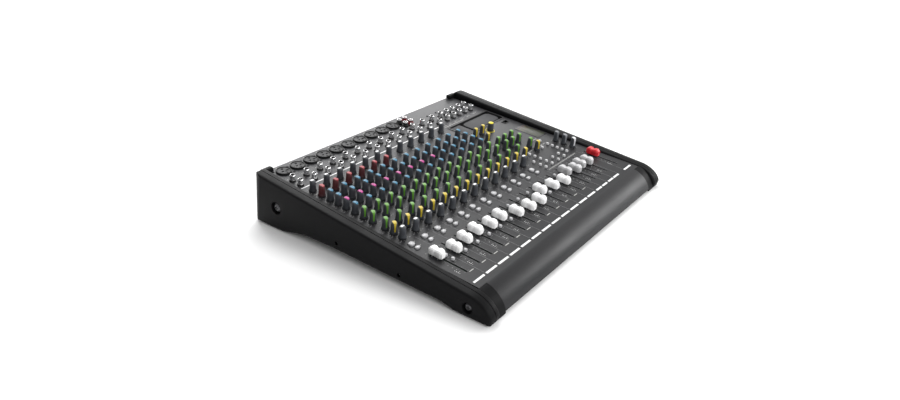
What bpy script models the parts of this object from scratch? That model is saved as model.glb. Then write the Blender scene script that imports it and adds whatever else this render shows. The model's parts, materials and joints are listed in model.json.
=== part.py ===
"""Mixing console: 12 channel strips, 4 groups and a main fader on a sloping steel panel between two cheeks.

Metres, +Z up. The origin is on the table under the middle of the console, +X to the right, +Y to the rear.
What is on the panel is placed in the panel's own frame: x to the right, y up the slope, z out of it.
"""
import math

import bmesh
import bpy
from mathutils import Matrix

# Overall size and the panel's place
WIDTH = 0.502
DEPTH = 0.430
TILT = math.radians(5.32)
PANEL_ORIGIN = (0.0, -DEPTH / 2 + 0.0439, 0.0338)
PANEL_WIDTH = 0.459
PANEL_FRONT = -0.0115
PANEL_REAR = 0.3866
SHEET = 0.0012
GAP = 0.0003
# Half a side's turn, which puts an eight-sided or a four-sided prism's flats across X
FLATS_8, FLATS_4 = math.pi / 8, math.pi / 4

# Columns across the panel
PITCH = 0.027
CHANNELS = 12
FIRST_EDGE = -0.2255
KNOB_X = 0.0135
FADER_X = 0.013
ROUTE_X = 0.021
MUTE_X = 0.0097
XLR_X = 0.0221
XLRS = 10
GROUP_X = 0.1137
GROUP_PITCH = 0.0202
MAIN_X = 0.2114
MASTER_KNOB_X = (0.1131, 0.1326, 0.1531)
MASTER_JACK_X = 0.1358
MASTER_JACK_PITCH = 0.0178

# Rows up the panel
FADER_LOW = 0.020
FADER_TRAVEL = 0.060
ROUTE_ROWS = (0.0707, 0.0589, 0.0475)
PFL_ROW = 0.0956
MUTE_ROW = 0.1064
KNOB_ROWS = {
    "pan": 0.1253,
    "effects_send": 0.1404,
    "aux_3": 0.1555,
    "aux_2": 0.1782,
    "aux_1": 0.1944,
    "low": 0.2111,
    "mid_frequency": 0.2279,
    "mid": 0.2435,
    "high": 0.2592,
    "compressor": 0.2765,
    "gain": 0.2948,
}
COMPRESSOR_CHANNELS = 6
JACK_ROWS = (0.3197, 0.3370)
XLR_ROW = 0.3667
MONITOR_ROWS = (0.1037, 0.1210, 0.1372)

# How far up its slot each fader cap stands
CHANNEL_LEVELS = (
    0.067, 0.060, 0.063, 0.065, 0.060, 0.062, 0.051, 0.047, 0.046, 0.061, 0.055, 0.050)
GROUP_LEVELS = (0.064, 0.057, 0.060, 0.057)
MAIN_LEVEL = 0.064

# Circuit boards under the panel
BOARD_TOP = -0.0125
BOARD = 0.0016

# Knobs, caps and buttons
KNOB_BASE_R = 0.0053
KNOB_TOP_R = 0.0045
KNOB_FOOT = 0.0008
KNOB_TOP = 0.0178
SHAFT_R = 0.0030
SHAFT_END = -0.0085
POT_TOP = -0.0088
CAP_WIDTH = 0.0096
CAP_LENGTH = 0.0220
CAP_FOOT = 0.0014
CAP_HEIGHT = 0.0118
SLOT_WIDTH = 0.0026
LEVER_WIDTH = 0.0012
LEVER_LENGTH = 0.0020
LEVER_END = -0.0070
BUTTON_TOP = 0.0042
BUTTON_TRAVEL = 0.0025
STEM_END = BOARD_TOP + 0.0065
SWITCH_TOP = STEM_END - BUTTON_TRAVEL - 0.0006
MUTE_SIZE = (0.0085, 0.0078)
PFL_SIZE = (0.0075, 0.0050)
ROUND_R = 0.0024

# Sockets
JACK_R = 0.0049
JACK_BORE_R = 0.00355
JACK_TOP = 0.0100
JACK_FLOOR = -0.0080
XLR_FLANGE_R = 0.0118
XLR_FLANGE_TOP = 0.0022
XLR_CUP_R = 0.0100
XLR_MOUTH_R = 0.0086
XLR_POST_R = 0.0072
XLR_POST_TOP = 0.0014
XLR_DEPTH = 0.0200
RCA_CENTRE = (0.0658, 0.3607)
RCA_PITCH = 0.0142
RCA_R = 0.0042

# Phone tray and USB socket
TRAY = (0.1075, 0.2265, 0.2555, 0.2975)
TRAY_DEPTH = 0.0060
USB_CENTRE = (0.2109, 0.2430)
USB_SIZE = (0.0130, 0.0092)
METER = (0.1975, 0.2255, 0.1640, 0.2140)

# Rear wall
IEC_X = 0.176
SWITCH_X = 0.132
REAR_FIT_Z = 0.040
IEC_BODY, IEC_FLANGE, IEC_MOUTH = (0.0276, 0.0206), (0.0310, 0.0250), (0.0240, 0.0160)
IEC_PINS = ((-0.0070, 0.0040), (0.0070, 0.0040), (0.0, 0.0010))
ROCKER_HEIGHT, ROCKER_PIVOT = 0.0102, 0.0045
SWITCH_BODY, SWITCH_FLANGE, SWITCH_WELL = (0.0196, 0.0140), (0.0220, 0.0170), (0.0160, 0.0112)

console = bpy.data.collections.new("mixing_console")
cutters = bpy.data.collections.new("cutters")


# helpers

def clear_scene():
    for obj in list(bpy.data.objects):
        bpy.data.objects.remove(obj, do_unlink=True)
    bpy.context.scene.collection.children.link(console)
    bpy.context.scene.collection.children.link(cutters)


def finish(name, colour, roughness, metallic=0.0):
    material = bpy.data.materials.new(name)
    material.use_nodes = True
    shader = material.node_tree.nodes["Principled BSDF"]
    shader.inputs["Base Color"].default_value = (*colour, 1.0)
    shader.inputs["Roughness"].default_value = roughness
    shader.inputs["Metallic"].default_value = metallic
    return material


def add_object(name, mesh, look=None, parent=None, place=(0, 0, 0), cutter=False):
    obj = bpy.data.objects.new(name, mesh)
    obj.parent = parent
    obj.location = place
    if cutter:
        obj.hide_render = True
        obj.display_type = "WIRE"
        cutters.objects.link(obj)
        return obj
    console.objects.link(obj)
    mesh.materials.append(finish(name, *look))
    return obj


def mesh_from(bm, name):
    mesh = bpy.data.meshes.new(name)
    bm.to_mesh(mesh)
    bm.free()
    return mesh


def put_box(bm, low, high):
    """Adds a box between two corners."""
    made = bmesh.ops.create_cube(bm, size=1.0)["verts"]
    size = [b - a for a, b in zip(low, high)]
    middle = [(a + b) / 2 for a, b in zip(low, high)]
    bmesh.ops.scale(bm, vec=size, verts=made)
    bmesh.ops.translate(bm, vec=middle, verts=made)


def put_prism(bm, centre, low, high, radius, sides, top_radius=None, turn=0.0):
    """Adds an upright prism, or a tapered one where top_radius is given."""
    made = bmesh.ops.create_cone(
        bm, cap_ends=True, segments=sides, radius1=radius,
        radius2=radius if top_radius is None else top_radius, depth=high - low)["verts"]
    bmesh.ops.rotate(bm, verts=made, cent=(0, 0, 0), matrix=rotation_about_z(turn))
    bmesh.ops.translate(bm, verts=made, vec=(centre[0], centre[1], (low + high) / 2))


def rotation_about_z(angle):
    return Matrix.Rotation(angle, 3, "Z")


def boolean(obj, other, operation="DIFFERENCE"):
    modifier = obj.modifiers.new(operation.lower(), "BOOLEAN")
    modifier.object = other
    modifier.operation = operation
    modifier.solver = "EXACT"


def outline_mesh(name, points, thickness, chamfer=0.0, rounds=0, inset=None):
    """A flat outline, extruded both ways by half its thickness, as a welded mesh in its own plane.

    Its edges are chamfered, or rounded in more steps where rounds is above 0. An inset shrinks the outline.
    """
    curve = bpy.data.curves.new(name, "CURVE")
    curve.dimensions = "2D"
    curve.fill_mode = "BOTH"
    curve.extrude = thickness / 2 - chamfer
    curve.bevel_depth = chamfer
    curve.bevel_resolution = rounds
    curve.offset = -chamfer if inset is None else -inset
    spline = curve.splines.new("POLY")
    spline.points.add(len(points) - 1)
    for point, (x, y) in zip(spline.points, points):
        point.co = (x, y, 0, 1)
    spline.use_cyclic_u = True
    guide = bpy.data.objects.new(name, curve)
    console.objects.link(guide)
    bpy.context.view_layer.update()
    evaluated = guide.evaluated_get(bpy.context.evaluated_depsgraph_get())
    mesh = bpy.data.meshes.new_from_object(evaluated)
    bpy.data.objects.remove(guide, do_unlink=True)
    bm = bmesh.new()
    bm.from_mesh(mesh)
    bmesh.ops.remove_doubles(bm, verts=bm.verts, dist=0.000001)
    bmesh.ops.recalc_face_normals(bm, faces=bm.faces)
    bm.to_mesh(mesh)
    bm.free()
    return mesh


def arc(centre, radius, start, end, steps):
    """Points along an arc, angles in degrees."""
    angles = [math.radians(start + (end - start) * i / steps) for i in range(steps + 1)]
    return [(centre[0] + radius * math.cos(a), centre[1] + radius * math.sin(a)) for a in angles]


def bezier(p0, p1, p2, p3, steps):
    found = []
    for i in range(steps + 1):
        t = i / steps
        weights = ((1 - t) ** 3, 3 * t * (1 - t) ** 2, 3 * t * t * (1 - t), t ** 3)
        points = list(zip(weights, (p0, p1, p2, p3)))
        found.append(tuple(sum(weight * point[axis] for weight, point in points) for axis in (0, 1)))
    return found


def turned(name, profile, look, parent, place, steps):
    """A turned piece: the profile runs down its outer side and a Screw modifier sweeps it round."""
    bm = bmesh.new()
    verts = [bm.verts.new((r, 0, z)) for r, z in profile]
    for a, b in zip(verts, verts[1:]):
        bm.edges.new((a, b))
    obj = add_object(name, mesh_from(bm, name), look, parent, place)
    screw = obj.modifiers.new("turn", "SCREW")
    screw.steps = steps
    screw.render_steps = steps
    screw.use_merge_vertices = True
    screw.merge_threshold = 0.00001
    return obj


def world_of(y, z):
    """A point of the panel frame, given by its slope and normal distances, as world (y, z)."""
    return (PANEL_ORIGIN[1] + y * math.cos(TILT) - z * math.sin(TILT),
            PANEL_ORIGIN[2] + y * math.sin(TILT) + z * math.cos(TILT))


def panel_height(world_y, below=0.0):
    """World height of the plane that lies below the panel's face by this much."""
    y = (world_y - PANEL_ORIGIN[1] - below * math.sin(TILT)) / math.cos(TILT)
    return world_of(y, -below)[1]


# colours: base colour, roughness, metallic

BLACK_PLASTIC = ((0.018, 0.018, 0.019), 0.55)
PANEL_PAINT = ((0.060, 0.061, 0.063), 0.45, 0.2)
PAN_PAINT = ((0.022, 0.022, 0.023), 0.50, 0.3)
RUBBER = ((0.012, 0.012, 0.012), 0.85)
BOARD_GREEN = ((0.020, 0.110, 0.050), 0.50)
CHROME = ((0.80, 0.80, 0.80), 0.18, 1.0)
DARK_SLATE = ((0.045, 0.052, 0.062), 0.50)
WHITE_CAP = ((0.82, 0.82, 0.82), 0.35)
GREY_CAP = ((0.50, 0.50, 0.51), 0.35)
RED_CAP = ((0.62, 0.030, 0.035), 0.35)
BUTTON_GREY = ((0.42, 0.42, 0.43), 0.40)
KNOB_COLOURS = {
    "pan": ((0.040, 0.046, 0.055), 0.50),
    "effects_send": ((0.52, 0.42, 0.05), 0.50),
    "aux_3": ((0.16, 0.40, 0.05), 0.50),
    "aux_2": ((0.16, 0.40, 0.05), 0.50),
    "aux_1": ((0.16, 0.40, 0.05), 0.50),
    "low": ((0.045, 0.31, 0.52), 0.50),
    "mid_frequency": ((0.60, 0.080, 0.30), 0.50),
    "mid": ((0.045, 0.31, 0.52), 0.50),
    "high": ((0.045, 0.31, 0.52), 0.50),
    "compressor": ((0.42, 0.030, 0.030), 0.50),
    "gain": ((0.045, 0.052, 0.062), 0.50),
}


# layout

def channel_edge(channel):
    """Left edge of a channel strip, channels counted from 0."""
    return FIRST_EDGE + channel * PITCH


def channel_knobs(channel):
    rows = [name for name in KNOB_ROWS if name != "compressor" or channel < COMPRESSOR_CHANNELS]
    return {name: (channel_edge(channel) + KNOB_X, KNOB_ROWS[name]) for name in rows}


def channel_buttons(channel):
    """Name, centre and size of each button; a round one's size is its radius."""
    edge = channel_edge(channel)
    found = {
        "mute": ((edge + MUTE_X, MUTE_ROW), MUTE_SIZE),
        "pfl": ((edge + MUTE_X - 0.0005, PFL_ROW), PFL_SIZE),
    }
    for number, row in enumerate(ROUTE_ROWS, 1):
        found[f"route_{number}"] = ((edge + ROUTE_X, row), ROUND_R)
    return found


def fader_places():
    """Name, column, level and cap finish of all 17 faders."""
    found = []
    for channel, level in enumerate(CHANNEL_LEVELS):
        found.append((f"channel_{channel + 1:02d}_fader", channel_edge(channel) + FADER_X, level, WHITE_CAP))
    for group, level in enumerate(GROUP_LEVELS):
        found.append((f"group_{group + 1}_fader", GROUP_X + group * GROUP_PITCH, level, GREY_CAP))
    found.append(("main_fader", MAIN_X, MAIN_LEVEL, RED_CAP))
    return found


ENCODER = (0.1580, 0.2405)
MASTER_KNOBS = (
    [(x, 0.2412) for x in (0.1131, 0.1337)] + [(0.1137, 0.2160)]
    + [(x, KNOB_ROWS[row]) for row in ("aux_1", "aux_2") for x in MASTER_KNOB_X]
    + [(x, KNOB_ROWS[row]) for row in ("aux_3", "effects_send") for x in MASTER_KNOB_X[::2]]
)
MASTER_BUTTONS = {
    0.1078: (0.0954, 0.1062, 0.1188),
    0.1272: (0.0954, 0.1062, 0.1177, 0.1285, 0.1390),
    0.1477: (0.0954, 0.1062),
    0.1671: (0.0954, 0.1062, 0.1382),
    0.1866: (0.1010, 0.1102, 0.1199, 0.1296, 0.1388, 0.1545),
}


def jack_places():
    columns = [channel_edge(column) + FADER_X for column in range(CHANNELS + 1)]
    columns += [MASTER_JACK_X + i * MASTER_JACK_PITCH for i in range(5)]
    return [(x, row) for row in JACK_ROWS for x in columns]


def xlr_places():
    return [(channel_edge(i) + XLR_X, XLR_ROW) for i in range(XLRS)]


def rca_places():
    x, y = RCA_CENTRE
    half = RCA_PITCH / 2
    return [(x + a * half, y + b * half) for a in (-1, 1) for b in (-1, 1)]


# casing

ROLL = bezier((PANEL_FRONT, 0), (-0.0210, 0), (-0.0380, -0.0080), (-0.0438, -0.0252), 14)
LIP = (-0.0385, -0.0258)
SHOULDER_REACH = 0.0155
FOOT_HEIGHT = 0.0012
CHEEK_LOW = FOOT_HEIGHT + GAP
CHEEK_EDGE = 0.0036
CHEEK_CORNER_LOW_R, CHEEK_CORNER_TOP_R, CHEEK_CORNER_TOP = 0.0120, 0.0300, 0.0850
GROOVE_X, GROOVE_WIDTH, GROOVE_DEPTH = 0.2385, 0.0010, 0.0012
HOOK_FROM, HOOK_RADIUS, HOOK_TOP = 0.0120, 0.0030, 0.0775
# Centre in world (y, z), radius and depth of each recess in a cheek's outer face
CHEEK_CUPS = (
    ((0.1600, 0.0370), 0.0100, 0.0050),
    ((-0.1805, 0.0145), 0.0078, 0.0045),
    ((0.0385, 0.0235), 0.0030, 0.0040),
    ((-0.0730, 0.0175), 0.0030, 0.0040),
)
PAN_FRONT = -DEPTH / 2 + 0.0360
PAN_REAR = DEPTH / 2 - 0.0080
PAN_FLOOR_FRONT, PAN_FLOOR_REAR = 0.0098, 0.0148


def make_top_panel(frame):
    """One sheet: the flat panel, the roll down its front edge and the lip under it, with its openings."""
    profile = [(PANEL_REAR, 0)] + ROLL + [LIP]
    bm = bmesh.new()
    half = PANEL_WIDTH / 2
    row = [bm.verts.new((-half, y, z)) for y, z in profile]
    edges = [bm.edges.new((a, b)) for a, b in zip(row, row[1:])]
    swept = bmesh.ops.extrude_edge_only(bm, edges=edges)["geom"]
    moved = [part for part in swept if isinstance(part, bmesh.types.BMVert)]
    bmesh.ops.translate(bm, verts=moved, vec=(PANEL_WIDTH, 0, 0))
    bmesh.ops.recalc_face_normals(bm, faces=bm.faces)
    if max(bm.faces, key=lambda face: face.calc_area()).normal.z < 0:
        bmesh.ops.reverse_faces(bm, faces=bm.faces)
    panel = add_object("top_panel", mesh_from(bm, "top_panel"), PANEL_PAINT, frame)
    wall = panel.modifiers.new("sheet", "SOLIDIFY")
    wall.thickness = SHEET
    wall.offset = -1.0
    wall.use_even_offset = True

    bm = bmesh.new()
    top, low = 0.004, -0.004
    for _, x, _, _ in fader_places():
        reach = (LEVER_LENGTH + 0.0003) / 2
        put_box(bm, (x - SLOT_WIDTH / 2, FADER_LOW - reach, low),
                (x + SLOT_WIDTH / 2, FADER_LOW + FADER_TRAVEL + reach, top))
    for channel in range(CHANNELS):
        for name, place in channel_knobs(channel).items():
            put_shaft_hole(bm, place, low, top, channel == 0)
        for (x, y), size in channel_buttons(channel).values():
            put_button_hole(bm, x, y, size, low, top, channel == 0)
    for place in MASTER_KNOBS:
        put_shaft_hole(bm, place, low, top, False)
    for place in [ENCODER] + [(MAIN_X, y) for y in MONITOR_ROWS]:
        put_shaft_hole(bm, place, low, top, True)
    for x, rows in MASTER_BUTTONS.items():
        for y in rows:
            put_button_hole(bm, x, y, ROUND_R, low, top, False)
    for place in jack_places():
        put_prism(bm, place, low, top, JACK_R + 0.0004, 8, turn=FLATS_8)
    for place in xlr_places():
        put_prism(bm, place, low, top, XLR_CUP_R + 0.0004, 8, turn=FLATS_8)
    x, y = RCA_CENTRE
    reach = RCA_PITCH / 2 + RCA_R + 0.0006
    put_box(bm, (x - reach, y - reach, low), (x + reach, y + reach, top))
    x, y = USB_CENTRE
    put_box(bm, (x - USB_SIZE[0] / 2 - GAP, y - USB_SIZE[1] / 2 - GAP, low),
            (x + USB_SIZE[0] / 2 + GAP, y + USB_SIZE[1] / 2 + GAP, top))
    put_box(bm, (TRAY[0] - GAP, TRAY[2] - GAP, low), (TRAY[1] + GAP, TRAY[3] + GAP, top))
    put_box(bm, (METER[0] - GAP, METER[2] - GAP, low), (METER[1] + GAP, METER[3] + GAP, top))
    boolean(panel, add_object("panel_openings", mesh_from(bm, "panel_openings"), parent=frame, cutter=True))

    bm = bmesh.new()
    for side in (-1, 1):
        inner = side * (PANEL_WIDTH / 2 - SHOULDER_REACH)
        outer = side * (PANEL_WIDTH / 2 + 0.002)
        put_box(bm, (min(inner, outer), -0.060, -0.040), (max(inner, outer), PANEL_FRONT + 0.0003, 0.004))
    corners = add_object("panel_corners", mesh_from(bm, "panel_corners"), parent=frame, cutter=True)
    boolean(panel, corners)
    return panel


def put_shaft_hole(bm, place, low, high, turning):
    if turning:
        put_prism(bm, place, low, high, SHAFT_R + 0.0006, 8)
    else:
        put_prism(bm, place, low, high, 0.0040, 4, turn=FLATS_4)


def put_button_hole(bm, x, y, size, low, high, moving):
    if not isinstance(size, float):
        half = [side / 2 + 0.0004 for side in size]
        put_box(bm, (x - half[0], y - half[1], low), (x + half[0], y + half[1], high))
    elif moving:
        put_prism(bm, (x, y), low, high, size + 0.0005, 8)
    else:
        put_prism(bm, (x, y), low, high, size + 0.0010, 4, turn=FLATS_4)


def cheek_profile():
    """Side view as world (y, z), starting at the front foot and going round by the top."""
    front = -DEPTH / 2
    rear = DEPTH / 2
    low = [(front + 0.0022, CHEEK_LOW)]
    nose = bezier((front, 0.0095), (front + 0.0025, 0.0210), (front + 0.0170, 0.0325),
                  (front + 0.0377, 0.0340), 10)
    back = [(rear - 0.0160, 0.0812)] + arc((rear - 0.0160, 0.0712), 0.0100, 80, 10, 4)
    back += arc((rear - 0.0082, CHEEK_LOW + 0.0082), 0.0082, 0, -90, 4)
    arch = [(rear - 0.0620, CHEEK_LOW)]
    arch += bezier((rear - 0.0680, 0.0022), (rear - 0.0880, 0.0060), (rear - 0.0980, 0.0118),
                   (rear - 0.1270, 0.0121), 6)
    arch += [(rear - 0.1730, 0.0123), (front + 0.1410, 0.0082), (front + 0.0760, 0.0064),
             (front + 0.0560, CHEEK_LOW)]
    return low + nose + back + arch


def make_cheek(name, side):
    """A moulded end cheek with its front shoulder, rear hook, two bolt cups and two screw recesses."""
    thickness = (WIDTH - PANEL_WIDTH) / 2 - GAP
    middle = side * (WIDTH / 2 - thickness / 2)
    turn = (math.pi / 2, 0, math.pi / 2)
    body = outline_mesh(name, cheek_profile(), thickness, CHEEK_EDGE, rounds=2)
    cheek = add_object(name, body, BLACK_PLASTIC, place=(middle, 0, 0))
    cheek.rotation_euler = turn

    # The shoulder carries the roll's curve on to the cheek and stands on the foot.
    curve = [world_of(y, z) for y, z in ROLL]
    foot = [(-DEPTH / 2 + 0.0024, CHEEK_LOW), (-DEPTH / 2 + 0.0342, CHEEK_LOW)]
    inside = [world_of(PANEL_FRONT, -0.020)]
    inner = side * (PANEL_WIDTH / 2 - SHOULDER_REACH + GAP)
    outer = side * (PANEL_WIDTH / 2 + 0.004)
    # The hook closes the panel's rear corner.
    hook_low = world_of(PANEL_REAR - HOOK_FROM, 0)[0], world_of(PANEL_REAR, 0)[1] + 0.0008
    hook_rear = DEPTH / 2 - 0.0030
    high = HOOK_TOP - HOOK_RADIUS
    hook = [hook_low, (hook_rear, hook_low[1])] + arc((hook_rear - HOOK_RADIUS, high), HOOK_RADIUS, 0, 90, 4)
    hook += arc((hook_low[0] + HOOK_RADIUS, high), HOOK_RADIUS, 90, 180, 4)
    for part, outline, edge in (("shoulder", curve + foot + inside, 0.0), ("hook", hook, HOOK_RADIUS / 2)):
        shape = outline_mesh(f"{name}_{part}", outline, abs(outer - inner), edge)
        extra = add_object(f"{name}_{part}", shape, place=((inner + outer) / 2, 0, 0), cutter=True)
        extra.rotation_euler = turn
        boolean(cheek, extra, "UNION")

    # A groove runs round the cheek inside its bead.
    core = outline_mesh(f"{name}_core", cheek_profile(), 2 * GROOVE_WIDTH, inset=GROOVE_DEPTH)
    core = add_object(f"{name}_core", core, place=(side * GROOVE_X, 0, 0), cutter=True)
    core.rotation_euler = turn
    bm = bmesh.new()
    middle = side * GROOVE_X
    put_box(bm, (middle - GROOVE_WIDTH / 2, -DEPTH, -DEPTH), (middle + GROOVE_WIDTH / 2, DEPTH, DEPTH))
    groove = add_object(f"{name}_groove", mesh_from(bm, "groove"), cutter=True)
    boolean(groove, core)
    boolean(cheek, groove)

    # Seen from above, the outer rear corner is round, and rounder towards the top.
    bm = bmesh.new()
    rings = []
    for radius, z in ((CHEEK_CORNER_LOW_R, 0.0), (CHEEK_CORNER_TOP_R, CHEEK_CORNER_TOP)):
        rings.append([bm.verts.new((x, y, z)) for x, y in corner_plan(side, radius)])
    bm.faces.new(rings[0])
    bm.faces.new(rings[1])
    for i in range(len(rings[0])):
        j = (i + 1) % len(rings[0])
        bm.faces.new((rings[0][i], rings[0][j], rings[1][j], rings[1][i]))
    bmesh.ops.triangulate(bm, faces=bm.faces)
    bmesh.ops.recalc_face_normals(bm, faces=bm.faces)
    plan = add_object(f"{name}_plan", mesh_from(bm, "plan"), cutter=True)
    boolean(cheek, plan, "INTERSECT")

    # Bolt cups and screw recesses, sunk from outside.
    bm = bmesh.new()
    for (y, z), radius, depth in CHEEK_CUPS:
        made = bmesh.ops.create_cone(bm, cap_ends=True, segments=16, radius1=radius, radius2=radius,
                                     depth=2 * depth)["verts"]
        bmesh.ops.rotate(bm, verts=made, cent=(0, 0, 0), matrix=Matrix.Rotation(math.pi / 2, 3, "Y"))
        bmesh.ops.translate(bm, verts=made, vec=(side * WIDTH / 2, y, z))
    boolean(cheek, add_object(name + "_cups", mesh_from(bm, "cups"), cutter=True))
    return cheek


def corner_plan(side, radius):
    """Plan view of the space that a cheek may fill, with the outer rear corner rounded."""
    inside = side * (PANEL_WIDTH / 2 - 0.0300)
    edge, rear = side * (WIDTH / 2 + 0.0001), DEPTH / 2 + 0.0001
    turn = arc((edge - side * radius, rear - radius), radius, *((0, 90) if side > 0 else (180, 90)), 7)
    return [(edge, -DEPTH)] + turn + [(inside, rear), (inside, -DEPTH)]


def make_feet():
    """Rubber pads under the four corners."""
    for side, end in (("left", -1), ("right", 1)):
        for place, (near, far) in (("front", (0.0050, 0.0500)), ("rear", (0.3780, 0.4040))):
            name = f"{place}_{side}_foot"
            bm = bmesh.new()
            middle = end * (WIDTH / 2 - 0.0110)
            put_box(bm, (middle - 0.0080, -DEPTH / 2 + near, 0),
                    (middle + 0.0080, -DEPTH / 2 + far, FOOT_HEIGHT))
            foot = add_object(name, mesh_from(bm, name), RUBBER)
            edge = foot.modifiers.new("edges", "BEVEL")
            edge.width = FOOT_HEIGHT / 3
            edge.segments = 1


def make_base_pan():
    """Folded steel pan: floor, four walls up to the panel, cut-outs for the mains inlet and switch."""
    half = PANEL_WIDTH / 2 - 0.0004
    bm = bmesh.new()
    bmesh.ops.create_cube(bm, size=1.0)
    for vert in bm.verts:
        back, up = vert.co.y > 0, vert.co.z > 0
        y = PAN_REAR if back else PAN_FRONT
        floor = PAN_FLOOR_REAR if back else PAN_FLOOR_FRONT
        z = panel_height(y, SHEET + GAP) if up else floor
        vert.co = (math.copysign(half, vert.co.x), y, z)
    bm.normal_update()
    top = [face for face in bm.faces if face.normal.z > 0.9]
    bmesh.ops.delete(bm, geom=top, context="FACES_ONLY")
    pan = add_object("base_pan", mesh_from(bm, "base_pan"), PAN_PAINT)
    wall = pan.modifiers.new("sheet", "SOLIDIFY")
    wall.thickness = SHEET
    wall.offset = -1.0
    wall.use_even_offset = True
    bm = bmesh.new()
    for x, (width, height) in ((IEC_X, IEC_BODY), (SWITCH_X, SWITCH_BODY)):
        put_rear_box(bm, x, width + 2 * GAP, height + 2 * GAP, -0.0060, 0.0060)
    boolean(pan, add_object("pan_openings", mesh_from(bm, "pan_openings"), cutter=True))


def put_rear_box(bm, x, width, height, near, far, centre_z=REAR_FIT_Z):
    """Adds a box through the rear wall, centred on x, from near to far of the wall's face along Y."""
    put_box(bm, (x - width / 2, PAN_REAR + near, centre_z - height / 2),
            (x + width / 2, PAN_REAR + far, centre_z + height / 2))


# boards

def make_board(name, frame, low, high, rises):
    """A circuit board with the pieces soldered to it: each entry of rises holds pieces that stay apart."""
    bm = bmesh.new()
    put_box(bm, (low[0], low[1], BOARD_TOP - BOARD), (high[0], high[1], BOARD_TOP))
    board = add_object(name, mesh_from(bm, name), BOARD_GREEN, frame)
    for number, fill in enumerate(rises):
        bm = bmesh.new()
        fill(bm)
        extra = add_object(f"{name}_rise_{number}", mesh_from(bm, name), parent=frame, cutter=True)
        boolean(board, extra, "UNION")
    return board


def put_fixed_shafts(bm, places):
    for place in places:
        put_prism(bm, place, BOARD_TOP - BOARD / 2, KNOB_FOOT + 0.004, SHAFT_R, 4, turn=FLATS_4)


def put_fixed_knobs(bm, places):
    for place in places:
        put_prism(bm, place, KNOB_FOOT, KNOB_TOP, KNOB_BASE_R, 6, top_radius=KNOB_TOP_R)


def put_pots(bm, places):
    for x, y in places:
        put_box(bm, (x - 0.0045, y - 0.0045, BOARD_TOP - BOARD / 2), (x + 0.0045, y + 0.0045, POT_TOP))


def put_fixed_buttons(bm, buttons):
    for (x, y), size in buttons:
        if isinstance(size, float):
            put_prism(bm, (x, y), BOARD_TOP - BOARD / 2, BUTTON_TOP, size, 4, turn=FLATS_4)
        else:
            put_box(bm, (x - size[0] / 2, y - size[1] / 2, BOARD_TOP - BOARD / 2),
                    (x + size[0] / 2, y + size[1] / 2, BUTTON_TOP))


def put_switches(bm, buttons):
    for (x, y), _ in buttons:
        put_box(bm, (x - 0.0022, y - 0.0022, BOARD_TOP - BOARD / 2), (x + 0.0022, y + 0.0022, SWITCH_TOP))


def make_boards(frame):
    left, right = channel_edge(0) + 0.001, channel_edge(CHANNELS) - 0.001
    knobs, buttons = [], []
    for channel in range(1, CHANNELS):
        knobs += channel_knobs(channel).values()
        buttons += channel_buttons(channel).values()
    own_buttons = list(channel_buttons(0).values())
    low_buttons = [b for b in buttons if b[0][1] < 0.09]
    high_buttons = [b for b in buttons if b[0][1] > 0.09]
    make_board("channel_board", frame, (left, 0.0905), (right, 0.3030), (
        lambda bm: put_fixed_shafts(bm, knobs),
        lambda bm: put_fixed_knobs(bm, knobs),
        lambda bm: put_pots(bm, channel_knobs(0).values()),
        lambda bm: put_fixed_buttons(bm, high_buttons),
        lambda bm: put_switches(bm, [b for b in own_buttons if b[0][1] > 0.09]),
    ))
    turning = [ENCODER] + [(MAIN_X, y) for y in MONITOR_ROWS]
    master_buttons = [((x, y), ROUND_R) for x, rows in MASTER_BUTTONS.items() for y in rows]
    make_board("master_board", frame, (right + 0.002, 0.0905), (0.2250, 0.2480), (
        lambda bm: put_fixed_shafts(bm, MASTER_KNOBS),
        lambda bm: put_fixed_knobs(bm, MASTER_KNOBS),
        lambda bm: put_pots(bm, turning),
        lambda bm: put_fixed_buttons(bm, master_buttons),
    ))

    def fader_bodies(bm):
        for _, x, _, _ in fader_places():
            put_box(bm, (x - 0.0045, FADER_LOW - 0.006, BOARD_TOP - BOARD / 2),
                    (x + 0.0045, FADER_LOW + FADER_TRAVEL + 0.006, -0.0020))

    board = make_board("fader_board", frame, (left, 0.0100), (0.2250, 0.0885), (
        fader_bodies,
        lambda bm: put_fixed_buttons(bm, low_buttons),
        lambda bm: put_switches(bm, [b for b in own_buttons if b[0][1] < 0.09]),
    ))
    bm = bmesh.new()
    for _, x, _, _ in fader_places():
        put_box(bm, (x - 0.0011, FADER_LOW - 0.0016, LEVER_END - 0.0010),
                (x + 0.0011, FADER_LOW + FADER_TRAVEL + 0.0016, 0.0010))
    boolean(board, add_object("fader_slots", mesh_from(bm, "fader_slots"), parent=frame, cutter=True))


# sockets and inserts

def make_jack_board(frame):
    bm = bmesh.new()
    put_box(bm, (channel_edge(0) + 0.001, 0.3085, BOARD_TOP - BOARD), (0.2250, 0.3480, BOARD_TOP))
    board = add_object("jack_board", mesh_from(bm, "jack_board"), CHROME, frame)
    bm = bmesh.new()
    for place in jack_places():
        put_prism(bm, place, BOARD_TOP - BOARD / 2, JACK_TOP, JACK_R, 8, turn=FLATS_8)
    boolean(board, add_object("jack_barrels", mesh_from(bm, "jacks"), parent=frame, cutter=True), "UNION")
    bm = bmesh.new()
    for place in jack_places():
        put_prism(bm, place, JACK_FLOOR, JACK_TOP + 0.002, JACK_BORE_R, 8, turn=FLATS_8)
    boolean(board, add_object("jack_bores", mesh_from(bm, "bores"), parent=frame, cutter=True))


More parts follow.
